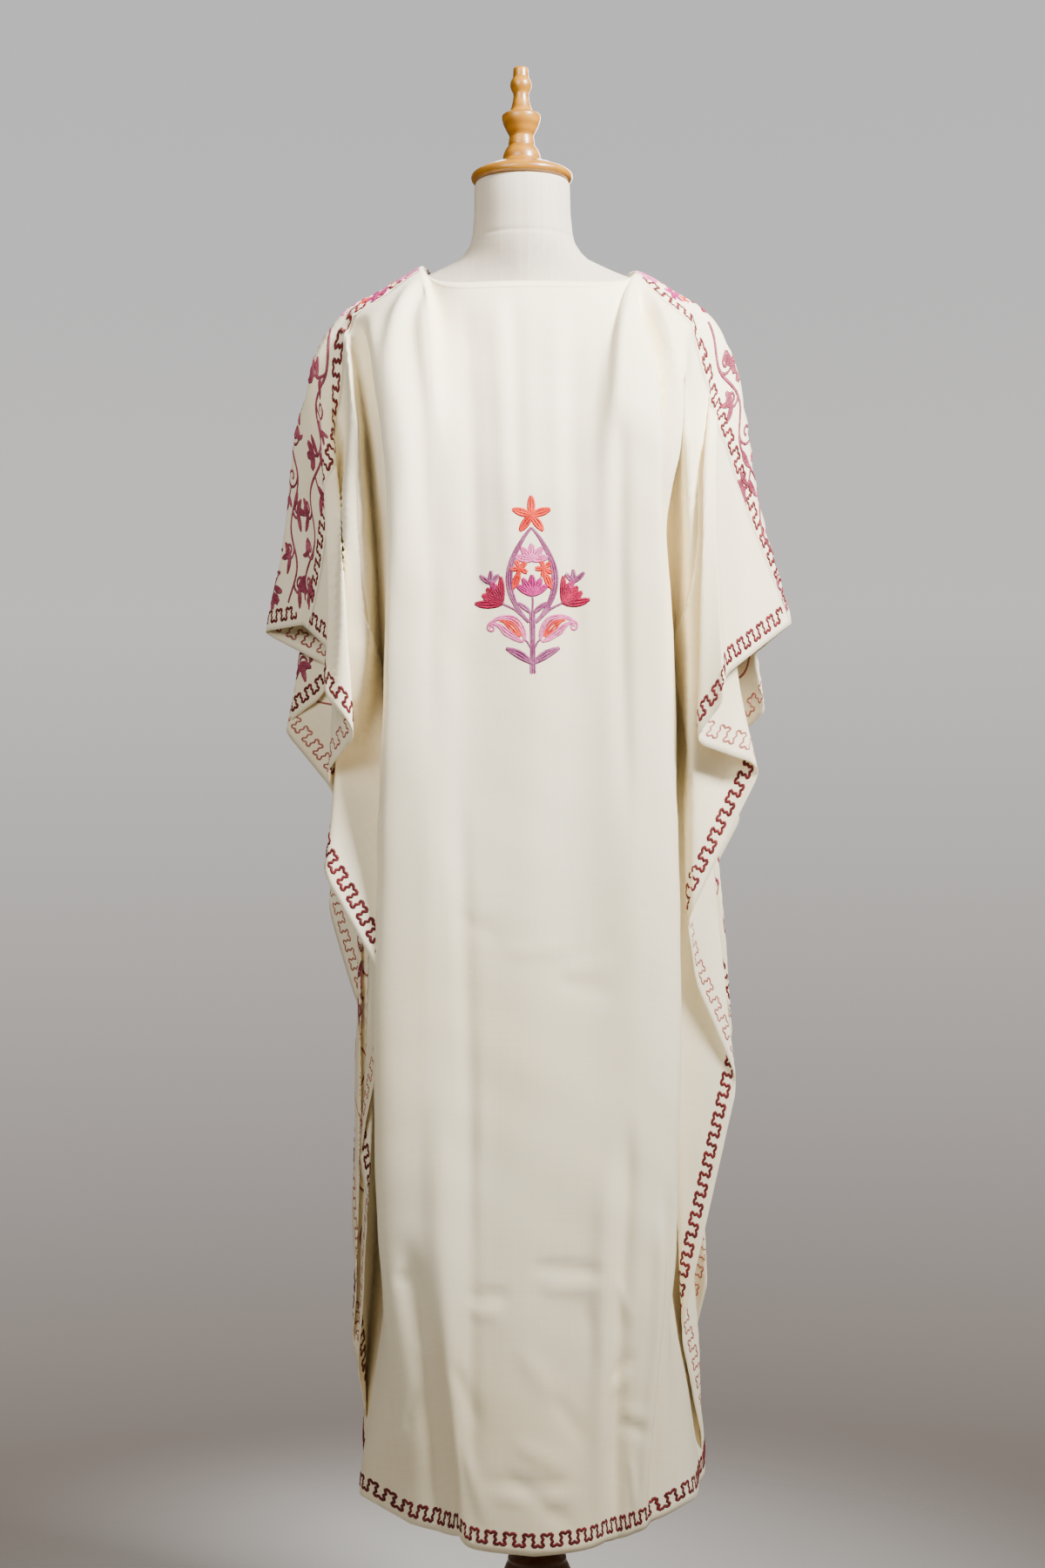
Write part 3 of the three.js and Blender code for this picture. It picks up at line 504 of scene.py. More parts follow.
def clothGrid(side):
    # columns along s, rows from the top edge to the hem
    outer = np.linspace(tipS, halfWidth, clothPlan["flange"])
    shoulder = np.linspace(neckHalf, tipS, clothPlan["shoulder"])
    middle = np.linspace(-neckHalf, neckHalf, clothPlan["neck"])
    s = np.concatenate([-outer[::-1], -shoulder[-2::-1], middle[1:], shoulder[1:], outer[1:]])
    if side == "back":
        top = topT(side, s) + wrapT(s) + cut["seamGap"] / 2
    else:
        top = topT(side, s) - np.where(np.abs(s) >= neckHalf - 0.01, wrapT(s), 0)
    places = np.linspace(0, 1, clothPlan["rows"] + 1)
    t = lerp(top[:, None], hemT(s)[:, None], places[None, :])
    sGrid = np.repeat(s[:, None], len(places), 1)
    points = sidePoint(side, sGrid.ravel(), t.ravel()).reshape(sGrid.shape + (3,))
    points = hangArms(side, sGrid, t, points)
    outward = 1 if side == "back" else -1
    depth = creaseDepth(side, sGrid, t) + runDepth(side, sGrid, t)
    depth += unevenness(sGrid, t, clothPlan["seeds"][side])
    depth *= smooth((t - top[:, None]) / clothPlan["edgeFade"])
    points = points + surfaceNormals(points) * outward * depth[..., None]
    normals = surfaceNormals(points) * outward
    return {"s": s, "t": t, "points": points, "normals": normals, "outward": outward}


grids = {side: clothGrid(side) for side in ("back", "front")}
print("cloth laid out")


def onCloth(side, s, t, lift):
    # place of a flat point on the finished cloth, lifted off it; a negative lift is on its inside
    grid = grids[side]
    rows = clothPlan["rows"]
    column = np.interp(s, grid["s"], np.arange(len(grid["s"])))
    i = np.clip(column.astype(int), 0, len(grid["s"]) - 2)
    w = column - i
    top, bottom = (lerp(grid["t"][i, k], grid["t"][i + 1, k], w) for k in (0, -1))
    row = np.clip((t - top) / (bottom - top), 0, 1) * rows
    j = np.clip(row.astype(int), 0, rows - 1)
    w, v = w[:, None], (row - j)[:, None]
    point, normal = (lerp(*(lerp(layer[i, k], layer[i + 1, k], w) for k in (j, j + 1)), v)
                     for layer in (grid["points"], grid["normals"]))
    return point + unit(normal) * lift[:, None]


def linkPiece(name, mesh, *materials):
    piece = bpy.data.objects.new(name, mesh)
    scene.collection.objects.link(piece)
    for material in materials:
        mesh.materials.append(material)
    return piece


def finishPiece(piece, slot, *nodes):
    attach(piece, "root")
    if nodes:
        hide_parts(*nodes)
    return piece


def meshFrom(bm, name):
    bmesh.ops.recalc_face_normals(bm, faces=bm.faces[:])
    mesh = bpy.data.meshes.new(name)
    bm.to_mesh(mesh)
    bm.free()
    mesh.shade_smooth()
    return mesh


def readValues(items, key, width=1, kind=float):
    values = np.empty(len(items) * width, kind)
    items.foreach_get(key, values)
    return values.reshape(-1, width) if width > 1 else values


def layFlat(mesh, flat):
    # the flat place of each vertex, in metres, as the mesh's own UV layer
    loops = readValues(mesh.loops, "vertex_index", kind=np.int32)
    mesh.uv_layers.new(name="flat").data.foreach_set("uv", (flat * mm)[loops].ravel())


# Shader groups that several finishes share, and how nodes are added.
def makeGroup(name, inputs, outputs):
    group = bpy.data.node_groups.new(name, "ShaderNodeTree")
    for way, sockets in (("INPUT", inputs), ("OUTPUT", outputs)):
        for label, kind in sockets.items():
            group.interface.new_socket(label, in_out=way, socket_type="NodeSocket" + kind)
    return group, group.nodes.new("NodeGroupInput").outputs, group.nodes.new("NodeGroupOutput")


def feed(tree, node, inputs):
    # each input is a plain value or another node's output
    for socket, value in inputs.items():
        if isinstance(value, bpy.types.NodeSocket):
            tree.links.new(value, node.inputs[socket])
        else:
            node.inputs[socket].default_value = value


def addNode(tree, kind, inputs=(), **settings):
    node = tree.nodes.new("ShaderNode" + kind)
    for name, value in settings.items():
        setattr(node, name, value)
    feed(tree, node, dict(inputs))
    return node.outputs


def calculate(tree, operation, *values):
    return addNode(tree, "Math", dict(enumerate(values)), operation=operation)[0]


def weaveGroup():
    # plain weave with uneven threads, from the cloth's own flat coordinates
    group, start, end = makeGroup("plainWeave", {"Flat": "Vector", "Threads": "Float", "Slub": "Float"},
                                  {"Height": "Float", "Slubs": "Float"})
    yarns = []
    for stretch in ((260, 9, 1), (9, 260, 1)):
        place = addNode(group, "Mapping", {"Vector": start["Flat"], "Scale": stretch})[0]
        noise = addNode(group, "TexNoise", {"Vector": place, "Scale": 1, "Detail": 3, "Roughness": 0.6})
        yarns.append(noise["Fac"])
    apart = calculate(group, "SUBTRACT", calculate(group, "ADD", *yarns), 1)
    slubs = calculate(group, "MULTIPLY", apart, start["Slub"])
    finer = addNode(group, "VectorMath", {0: start["Flat"], "Scale": start["Threads"]},
                    operation="SCALE")[0]
    check = addNode(group, "TexVoronoi", {"Vector": finer, "Scale": 1, "Randomness": 0.25},
                    distance="CHEBYCHEV")
    height = calculate(group, "MULTIPLY_ADD", slubs, 0.6, check["Distance"])
    feed(group, end, {"Height": height, "Slubs": slubs})
    return group


weave = weaveGroup()


def newMaterial(name):
    # a material's tree and shader, and the coordinates that its surface can be read in
    material = bpy.data.materials.new(name)
    material.use_nodes = True
    tree = material.node_tree
    return material, tree, tree.nodes["Principled BSDF"], addNode(tree, "TexCoord")


def twoTones(tree, mask, tones, places):
    ramp = addNode(tree, "ValToRGB", {"Fac": mask})[0]
    for stop, tone, place in zip(ramp.node.color_ramp.elements, tones, places):
        stop.color, stop.position = tone, place
    return ramp


def relief(tree, height, strength, distance, **settings):
    inputs = {"Height": height, "Strength": strength, "Distance": distance}
    return addNode(tree, "Bump", inputs, **settings)[0]


def srgb(r, g, b):
    def linear(v):
        v /= 255
        return v / 12.92 if v <= 0.04045 else ((v + 0.055) / 1.055) ** 2.4
    return (linear(r), linear(g), linear(b), 1)


def clothMaterial(name, shade, pale):
    material, tree, shader, places = newMaterial(name)
    flat = addNode(tree, "Group", {"Flat": places["UV"], "Threads": 1100, "Slub": 0.5}, node_tree=weave)
    cloudy = addNode(tree, "TexNoise", {"Vector": places["Object"], "Scale": 3.5, "Detail": 4})
    tone = calculate(tree, "MULTIPLY_ADD", flat["Slubs"], 0.9, cloudy["Fac"])
    feed(tree, shader, {
        "Base Color": twoTones(tree, tone, (shade, pale), (0.25, 0.75)),
        "Normal": relief(tree, flat["Height"], 0.25, 0.0004), "Roughness": 0.78, "Sheen Weight": 0.25,
        "Sheen Roughness": 0.45, "Sheen Tint": srgb(255, 250, 238), "Specular IOR Level": 0.3,
    })
    return material


kaftanCloth = clothMaterial("kaftanCloth", srgb(251, 235, 196), srgb(255, 246, 220))


def makePanel(side):
    grid = grids[side]
    lastCells = np.array(grid["t"].shape) - 1
    bm = bmesh.new()
    bmesh.ops.create_grid(bm, x_segments=lastCells[0], y_segments=lastCells[1], size=1)
    mesh = bpy.data.meshes.new(side + "Panel")
    bm.to_mesh(mesh)
    bm.free()
    square = readValues(mesh.vertices, "co", 3)[:, :2]
    i, j = np.rint((square + 1) / 2 * lastCells).astype(int).T
    mesh.vertices.foreach_set("co", (grid["points"][i, j] * mm).ravel())
    if grid["outward"] > 0:
        mesh.flip_normals()
    layFlat(mesh, np.stack([grid["s"][i], grid["t"][i, j]], -1))
    mesh.shade_smooth()
    panel = linkPiece(side + "Panel", mesh, kaftanCloth)
    wall = panel.modifiers.new("wall", "SOLIDIFY")
    wall.thickness = clothPlan["thick"]
    wall.offset = 0
    return panel


backPanel = makePanel("back")
frontPanel = makePanel("front")
print("panels made")

# Embroidery: chain stitch in rows. Every strand is a flat line of points with a width and a colour, and is
# laid on the cloth afterwards.
threadColours = {
    "rose": (srgb(88, 12, 20), srgb(140, 44, 50)),
    "mauve": (srgb(124, 42, 64), srgb(182, 96, 116)),
    "coral": (srgb(204, 26, 16), srgb(244, 84, 54)),
    "crimson": (srgb(118, 0, 44), srgb(196, 0, 74)),
    "pink": (srgb(206, 84, 146), srgb(246, 152, 198)),
    "lavender": (srgb(126, 52, 96), srgb(180, 110, 148)),
    "magenta": (srgb(156, 12, 96), srgb(212, 60, 146)),
    "ivory": (srgb(226, 212, 176), srgb(248, 238, 210)),
    "reverse": (srgb(170, 92, 84), srgb(206, 146, 130)),
}
threadNames = list(threadColours)


def threadMaterial(name):
    material, tree, shader, places = newMaterial(name + "Thread")
    shaded = addNode(tree, "TexNoise", {"Vector": places["UV"], "Scale": 55, "Detail": 3})
    # links of the chain stitch, used for the bump and also as painted shade: each link is darker towards
    # its edges, in the crevices between links
    chain = addNode(tree, "TexVoronoi", {"Vector": places["UV"], "Scale": 620})["Distance"]
    tone = calculate(tree, "MULTIPLY_ADD", chain, -0.5, shaded["Fac"])
    feed(tree, shader, {
        "Base Color": twoTones(tree, tone, threadColours[name], (0.12, 0.62)),
        "Normal": relief(tree, chain, 0.5, 0.0006, invert=True),
        "Roughness": 0.55, "Sheen Weight": 0.06, "Specular IOR Level": 0.25,
    })
    return material


threads = {name: threadMaterial(name) for name in threadNames}
stitch = {
    "line": 2.6, "fill": 2.7, "overlap": 1.28, "curl": 3.8, "height": 0.8, "lift": 0.45,
    "reverseWidth": 0.62, "reverseHeight": 0.4,
}


def strand(points, colour, width=stitch["line"]):
    return (np.asarray(points, float), colour, width)


def moved(strands, at, turn=0.0, size=1.0, flip=1):
    # turned by an angle, scaled and shifted; flip -1 mirrors it first
    c, s = math.cos(turn), math.sin(turn)
    result = []
    for points, colour, width in strands:
        x, y = points[:, 0] * flip * size, points[:, 1] * size
        result.append((np.stack([x * c - y * s + at[0], x * s + y * c + at[1]], -1), colour, width))
    return result


def filledRows(half, spine, up, colour, width):
    # rows of stitches side by side over a shape that starts at 0, 0 and points along +y
    rows = max(2, int(round(width / stitch["fill"])))
    return [strand(np.stack([spine + half * (2 * (k + 0.5) / rows - 1), up], -1), colour,
                   stitch["fill"] * stitch["overlap"]) for k in range(rows)]


def leaf(length, width, colour, bend=0.0, steps=6, blunt=0.8):
    u = np.linspace(0, 1, steps)
    half = width / 2 * np.sin(u * math.pi) ** blunt
    return filledRows(half, bend * length * (u * u), length * u, colour, width)


def petal(length, width, colour):
    u = np.linspace(0, 1, 6)
    half = width / 2 * np.sin(np.minimum(u * 1.12, 1) ** 1.5 * math.pi * 0.86)
    return filledRows(half, 0, length * u, colour, width)


def fan(at, colour, leaves, hand=-1, bend=0.0, steps=6, blunt=0.8):
    # leaves from one point, each as its angle away from the stem, its length and its width
    strands = []
    for turn, length, width in leaves:
        strands += moved(leaf(length, width, colour, bend, steps, blunt), at, -hand * turn)
    return strands


def paisley(length, width, colour, flip=1):
    # a drop with its tip curled over
    u = np.linspace(0, 1, 11)
    angle = 0.25 + 2.3 * u ** 1.6
    steps = np.stack([np.sin(angle), np.cos(angle)], -1)
    spine = np.concatenate([[(0, 0)], np.cumsum((steps[1:] + steps[:-1]) / 2, axis=0)]) * length / 10
    filled = np.clip(u / 0.3, 0, 1)
    half = width / 2 * np.sqrt(filled * (2 - filled)) * (1 - u) ** 0.75
    rows = max(3, int(round(width / stitch["fill"])))
    sideways = steps[:, ::-1] * (1, -1)
    return [strand((spine + ((2 * (k + 0.5) / rows - 1) * half)[:, None] * sideways) * (flip, 1), colour,
                   stitch["fill"]) for k in range(rows)]


def spiral(radius, turns, colour, flip=1, steps=18, width=stitch["line"]):
    # starts at 0, 0 going up and winds in
    u = np.linspace(0, 1, steps)
    angle = math.pi - 2 * math.pi * turns * u
    reach = radius * (1 - 0.82 * u)
    across = (radius + reach * np.cos(angle)) * flip
    return [strand(np.stack([across, reach * np.sin(angle)], -1), colour, width)]


def blossom(radius, colour, petals=5, heart=None, spread=2 * math.pi):
    strands = []
    for k in range(petals):
        turn = spread * k / petals if spread > 6 else spread * (k / (petals - 1) - 0.5)
        strands += moved(petal(radius, radius * 0.62, colour), (0, 0), turn)
    if heart:
        strands += moved(spiral(radius * 0.22, 1.2, heart, steps=8), (-radius * 0.22, 0))
    return strands


def sprig(length, colour):
    # three small leaves on a short stem
    strands = [strand([(0, 0), (0, length * 0.6)], colour)]
    for turn, size in ((0, 1), (0.85, 0.8), (-0.85, 0.8)):
        strands += moved(leaf(length * 0.55, length * 0.22, colour, steps=5), (0, length * 0.5), turn, size)
    return strands


def scallop(radius, colour):
    # a small fan flower
    return blossom(radius, colour, petals=3, spread=1.7) + [strand([(0, -radius * 0.35), (0, 0)], colour)]


# Half a period of the running border as steps along and across it; the other half is its mirror image.
borderStitch = {
    "period": 22.5, "height": 12.6, "inset": 15.5, "width": 3.9, "corner": 38, "step": 12.0,
    "start": 14, "beforeCorner": 60, "pastCorner": 44, "neckLine": 8, "shoulderInset": 0.72,
    "loop": ((0, 0), (0.05, 0.26), (-0.02, 0.52), (-0.06, 0.8), (0.02, 1), (0.13, 0.98), (0.25, 0.74),
             (0.37, 0.98), (0.48, 1), (0.56, 0.8), (0.52, 0.52), (0.45, 0.26)),
}


def meander(line, colour="rose"):
    # running border whose loops are wider than their necks, with a dent in each head
    line = np.asarray(line, float)
    lengths = lengthsAlong(line)
    count = max(1, int(round(lengths[-1] / borderStitch["period"])))
    loop = np.array(borderStitch["loop"])
    period = np.vstack([loop, loop * (1, -1) + (0.5, 0)])
    turns = np.vstack([period + (k, 0) for k in range(count)] + [[(count, 0)]])
    along = np.clip(turns[:, 0] * lengths[-1] / count, 0, lengths[-1])
    across = turns[:, 1] * borderStitch["height"] / 2
    ahead = unit(onPath(line, lengths, along + 2) - onPath(line, lengths, along - 2))
    sideways = np.stack([-ahead[:, 1], ahead[:, 0]], -1)
    return strand(onPath(line, lengths, along) + sideways * across[:, None], colour, borderStitch["width"])


def rimLine(hand, toS):
    # down one side edge, round the hem corner and along the hem
    inset, corner, step = (borderStitch[name] for name in ("inset", "corner", "step"))
    edge = halfWidth - inset
    start, end = shoulderT(halfWidth) + borderStitch["start"], edgeEndT - borderStitch["beforeCorner"]
    places = [(edge, t) for t in np.arange(start, end, step)]
    places += [(edge - corner * (1 - math.cos(a)), edgeEndT - inset - corner * (1 - math.sin(a)))
               for a in np.linspace(0, math.pi / 2, 7)]
    places += [(s, hemT(s) - inset) for s in np.arange(edge - borderStitch["pastCorner"], toS, -step)]
    return [(hand * s, t) for s, t in places]


def borderStrands(side):
    inset = borderStitch["inset"]
    strands = [meander(rimLine(1, 0.0) + rimLine(-1, 6.0)[::-1])]
    s = np.linspace(1 - neckHalf, neckHalf - 1, 60)
    strands.append(strand(np.stack([s, topT(side, s) + borderStitch["neckLine"]], -1), "ivory", 0.9))
    if side == "front":
        for hand in (1, -1):
            s = np.arange(neckHalf + 8, halfWidth - 20, 8.0) * hand
            t = topT("front", s) - wrapT(s) + inset * borderStitch["shoulderInset"]
            strands.append(meander(np.stack([s, t], -1)))
        s = np.linspace(3 - neckHalf, neckHalf - 3, 40)
        strands.append(meander(np.stack([s * (1 + inset / neckHalf), topT("front", s) + inset], -1)))
    return strands


# Vines on the front panel, and blossoms on it as s, t and radius on the right half.
vinePlan = {
    "spacing": 45.0, "period": 98.0, "swing": 11.0, "seed": 5, "inset": 33.0, "stem": 4.2, "step": 6.0,
    "shoulderRows": ((0.5, 10), (0, 30)), "shoulderFrom": 132, "shoulderTo": 528,
    "below": 58, "neckBelow": 40, "bayFrom": 16, "shoulderSize": 0.86, "shoulderBay": 12,
    "stemRoom": 3, "bayRoom": 12, "shoulderRoom": 14,
}
frontBlossoms = (
    (126, -2, 17), (166, -8, 15), (150, 38, 17), (60, 130, 18), (0, 150, 20), (108, 76, 16),
    (200, 20, 14), (206, 74, 15), (30, 204, 14), (84, 184, 14), (160, 116, 15), (0, 262, 15),
)


def bayMotif(rng, root, lean, heading=0.0, share=1.0):
    # one curl with its fruit, on the hollow side of a stem; y grows downwards on the flat cloth
    kind = rng.randrange(5)
    size = rng.uniform(1.04, 1.22)
    turn = lean * rng.uniform(-0.15, 0.25)
    curl = stitch["curl"]
    if kind == 0:
        strands = spiral(13, 1.35, "mauve", lean, width=curl)
        strands += moved(paisley(28, 14, "mauve", lean), (lean * 16, -10), lean * 0.35)
    elif kind == 1:
        strands = spiral(14, 1.2, "mauve", lean, width=curl)
        strands += moved(sprig(28, "mauve"), (lean * 18, 8), -lean * 0.7)
        strands += fan((lean * 6, 18), "mauve", ((0.5, 22, 9),), lean, 0.2 * lean)
    elif kind == 2:
        strands = [strand([(0, 0), (lean * 6, 9), (lean * 13, 15), (lean * 20, 15)], "mauve", curl)]
        strands += moved(scallop(18, "mauve"), (lean * 20, 15), -lean * 1.5)
        strands += fan((lean * 7, 10), "mauve", ((-0.2, 24, 9),), lean, -0.2 * lean)
        strands += fan((lean * 13, 13), "mauve", ((2.5, 20, 8),), lean, 0.2 * lean)
    elif kind == 3:
        strands = spiral(12, 1.5, "mauve", lean, width=curl)
        leaves = ((0.4, 24, 8.5), (1.5, 20, 8.5), (2.5, 18, 8.5))
        strands += fan((lean * 11, 4), "mauve", leaves, lean, 0.15)
    else:
        strands = [strand([(0, 0), (lean * 5, 10), (lean * 12, 19), (lean * 18, 30)], "mauve", curl)]
        for across, down, turned in ((5, 10, 0.9), (12, 19, 1.5), (12, 19, -0.35), (18, 30, 0.4)):
            strands += fan((lean * across, down), "mauve", ((turned, 22, 8.5),), lean, 0.1 * lean)
    return moved(strands, root, turn + heading, size * share)


def vineStrands():
    rng = random.Random(vinePlan["seed"])
    stems, motifs, kept = [], [], []
    for s, t, radius in frontBlossoms:
        for hand in (1, -1) if s else (1,):
            colour = rng.choice(("pink", "magenta", "pink", "crimson"))
            motifs += moved(blossom(radius, colour, 6 if radius > 16 else 5, "coral"), (hand * s, t),
                            rng.uniform(0, 1.2))
            outer = radius * 1.15
            motifs += moved(blossom(radius * 0.5, "coral", 4), (hand * (s + outer), t + radius * 0.6))
            kept.append((hand * s, t, outer))
    period = vinePlan["period"]

    def free(s, t, room):
        return all(math.hypot(s - a, t - b) > room + c for a, b, c in kept)

    def wave(place, shift, share=1.0):
        return vinePlan["swing"] * share * np.sin((place - shift) * 2 * math.pi / period)

    def layStem(s, t, least):
        clear = np.array([free(a, b, vinePlan["stemRoom"]) for a, b in zip(s, t)])
        for run in np.split(np.arange(len(t)), np.where(np.diff(clear.astype(int)) != 0)[0] + 1):
            if len(run) > least and clear[run[0]]:
                stems.append(strand(np.stack([s[run], t[run]], -1), "mauve", vinePlan["stem"]))

    spacing, step, inset, before = (vinePlan[name] for name in ("spacing", "step", "inset", "bayFrom"))
    count = int((halfWidth - inset) / spacing)
    for middle in (k * spacing for k in range(-count, count + 1)):
        shift = rng.uniform(0, period)
        high = float(topT("front", middle)) + vinePlan["neckBelow" if abs(middle) < neckHalf else "below"]
        low = hemT(middle) - inset
        t = np.arange(high, low, step)
        layStem(middle + wave(t, shift), t, 4)
        bay = shift % (period / 2) - period / 4 + high
        while bay < low - before:
            lean = -1 if wave(bay, shift) > 0 else 1
            if bay > high + 6 and free(middle + lean * 10, bay, vinePlan["bayRoom"]):
                motifs += bayMotif(rng, (middle + wave(bay - before, shift), bay - before), lean)
            bay += period / 2

    # rows of vine that run out along the shoulders instead of down
    start, end = vinePlan["shoulderFrom"], vinePlan["shoulderTo"]
    for hand in (1, -1):
        for share, lower in vinePlan["shoulderRows"]:
            along = np.arange(start, end, step)
            shift = rng.uniform(0, period)
            row = topT("front", along) - share * wrapT(hand * along) + lower + wave(along, shift, 0.8)
            layStem(hand * along, row, 3)
            out = start + 14
            while out < end - 14:
                lean = -1 if wave(out, shift) > 0 else 1
                place = out - vinePlan["shoulderBay"]
                root = (hand * place, float(np.interp(place, along, row)))
                if free(*root, vinePlan["shoulderRoom"]):
                    motifs += bayMotif(rng, root, -lean * hand, -hand * math.pi / 2,
                                       vinePlan["shoulderSize"])
                out += period / 2.4
    return stems, motifs


bouquetPlan = {"foot": (4, 451), "arch": (25, 60, 150), "size": (1.17, 0.985)}


def drop(length, width, turn, rows, colour):
    # paisley that leans over by the angle turn along its length, as stitched rows
    u = np.linspace(0, 1, 14)
    angle = turn * u ** 2.2
    x, y = (np.concatenate([[0], np.cumsum(part(angle[1:]))]) * (length / 13) for part in (np.sin, np.cos))
    swell = np.clip(u / 0.62, 0, 1) ** 0.62 * math.pi * 0.5 + np.clip(u - 0.34, 0, 1) * 2.2
    half = np.maximum(width / 2 * np.sin(swell) ** 0.9 * (1 - u ** 6), 1.1)
    return [strand(np.stack([x + k * half * np.cos(angle), y - k * half * np.sin(angle)], -1), colour)
            for k in rows]


def bouquetStrands():
    # a usual symmetrical bouquet: stem, leaves, two paisleys, an arch with three flowers, and one above
    half, low, high = bouquetPlan["arch"]
    strands = [strand([(x, 0), (x * 0.8, 30), (x, 62)], "lavender") for x in (-2.2, 0, 2.2)]
    strands.append(strand([(0, 60), (0.6, 74), (0, 84)], "lavender", 3))
    u = np.linspace(0, 1, 20)
    for hand in (1, -1):
        for shift in (-1, 1.4, 3.8):
            x = (half - 4 + shift) * np.sin(u ** 0.9 * math.pi) ** 0.86 + 1.6 * (1 - u)
            strands.append(strand(np.stack([hand * x, low - 8 + (high - low + 8) * u], -1), "lavender", 3))
        strands += fan((hand, 10), "lavender", ((0.82, 30, 9),), hand, 0.2 * hand)
        strands += fan((hand * 2, 62), "lavender", ((0.7, 16, 5.5),), hand, 0.2 * hand)
        strands.append(strand([(hand * 2, 26), (hand * 5, 32), (hand * 9, 36)], "lavender", 2.4))
        bulb = moved(drop(44, 22, 1.5, (-0.95, -0.7, -0.45, 0.45, 0.7, 0.95), "pink"), (hand * 9, 33),
                     -hand * 0.58, 1, hand)
        strands += bulb + moved(spiral(4.6, 1.2, "pink", width=3), bulb[2][0][-1], -hand * 2.08, 1, hand)
        strands += moved(drop(28, 10, 0.8, (-0.85, -0.3, 0.3, 0.85), "coral"), (hand * 12, 38), -hand * 0.6,
                         1, hand)
        strands.append(strand([(hand * 4, 52), (hand * 18, 66), (hand * 30, 72)], "lavender", 3))
        petals = ((0.02, 28, 7), (0.4, 23, 10), (0.78, 22, 10), (1.16, 22, 10), (1.62, 28, 9))
        strands += fan((hand * 31, 72), "crimson", petals, hand, 0, 7, 0.6)
        strands += fan((hand * 38, 87), "magenta", ((0.4, 9, 7),), hand)
        strands.append(strand([(hand * 40, 90), (hand * 43, 96)], "lavender"))
        bud = [(turn, 13, 6) for turn in (-0.1, 0.95, -0.8)]
        strands += fan((hand * 43, 93), "lavender", bud, hand, 0, 5)
        strands += moved(blossom(9, "coral"), (hand * 12.5, 108), 0.4)
        strands += moved(spiral(2.8, 1.2, "crimson", steps=8, width=1.6), (hand * 12.5 - 2.8, 108))
        strands += fan((hand * 13, 103), "coral", ((2.75, 17, 8),), hand, 0, 6, 0.6)
    middle = (
        ((0, 80), "magenta", ((0, 21, 9), (0.5, 20, 8), (-0.5, 20, 8), (0.98, 19, 7), (-0.98, 19, 7)), 0.7),
        ((0, 116), "pink", [(turn, 17, 8) for turn in (0, 0.68, -0.68, 1.34, -1.34)], 0.6),
        ((0, 163), "coral", [(2 * math.pi * k / 5, 20, 9) for k in range(5)], 0.75),
    )
    for at, colour, petals, blunt in middle:
        strands += fan(at, colour, petals, steps=7, blunt=blunt)
    strands = [(points * bouquetPlan["size"], colour, width) for points, colour, width in strands]
    return moved(strands, bouquetPlan["foot"], math.pi, 1, -1)


def sewThreads(name, side, strands, inside=False):
    # every strand as a thread with a four-sided section, laid out flat and then bent onto the cloth
    curve = bpy.data.curves.new(name, "CURVE")
    curve.dimensions = "3D"
    curve.bevel_depth = 1
    curve.bevel_resolution = 0
    curve.use_fill_caps = True
    curve.twist_mode = "Z_UP"
    used = sorted({colour for _, colour, _ in strands}, key=threadNames.index)
    colours = [threads["reverse"]] if inside else [threads[colour] for colour in used]
    for material in colours:
        curve.materials.append(material)
    for points, colour, width in strands:
        line = curve.splines.new("POLY")
        line.points.add(len(points) - 1)
        places = np.zeros((len(points), 4), np.float32)
        places[:, :2] = points
        radii = np.full(len(points), width / 2 * (stitch["reverseWidth"] if inside else 1), np.float32)
        line.points.foreach_set("co", places.ravel())
        line.points.foreach_set("radius", radii)
        line.material_index = 0 if inside else used.index(colour)
    holder = linkPiece(name + "Line", curve)
    tubes = bpy.data.meshes.new_from_object(holder.evaluated_get(bpy.context.evaluated_depsgraph_get()))
    bpy.data.objects.remove(holder)
    bpy.data.curves.remove(curve)
    flat = readValues(tubes.vertices, "co", 3)
    swell = stitch["height"] * (stitch["reverseHeight"] if inside else 1) * np.clip(flat[:, 2], -0.3, 1)
    lift = stitch["lift"] + swell
    points = onCloth(side, flat[:, 0], flat[:, 1], -lift if inside else lift)
    tubes.vertices.foreach_set("co", (points * mm).ravel())
    bm = bmesh.new()
    bm.from_mesh(tubes)
    bpy.data.meshes.remove(tubes)
    for layer in bm.loops.layers.uv.values():
        bm.loops.layers.uv.remove(layer)
    mesh = meshFrom(bm, name)
    layFlat(mesh, flat[:, :2])
    print(name, len(mesh.polygons), "faces")
    return finishPiece(linkPiece(name, mesh, *colours), "kaftan_cloth")


def sewPanel(side, work):
    pieces = []
    for label, strands in work.items():
        pieces.append(sewThreads(side + label, side, strands))
        if label in ("Border", "Stems"):
            pieces.append(sewThreads(side + label + "Reverse", side, strands, True))
    return pieces


stems, motifs = vineStrands()
third = len(motifs) // 3
backWork = sewPanel("back", {"Border": borderStrands("back"), "Bouquet": bouquetStrands()})
frontWork = sewPanel("front", {
    "Border": borderStrands("front"), "Stems": stems, "Motifs1": motifs[:third],
    "Motifs2": motifs[third:2 * third], "Motifs3": motifs[2 * third:],
})
print("embroidery sewn")

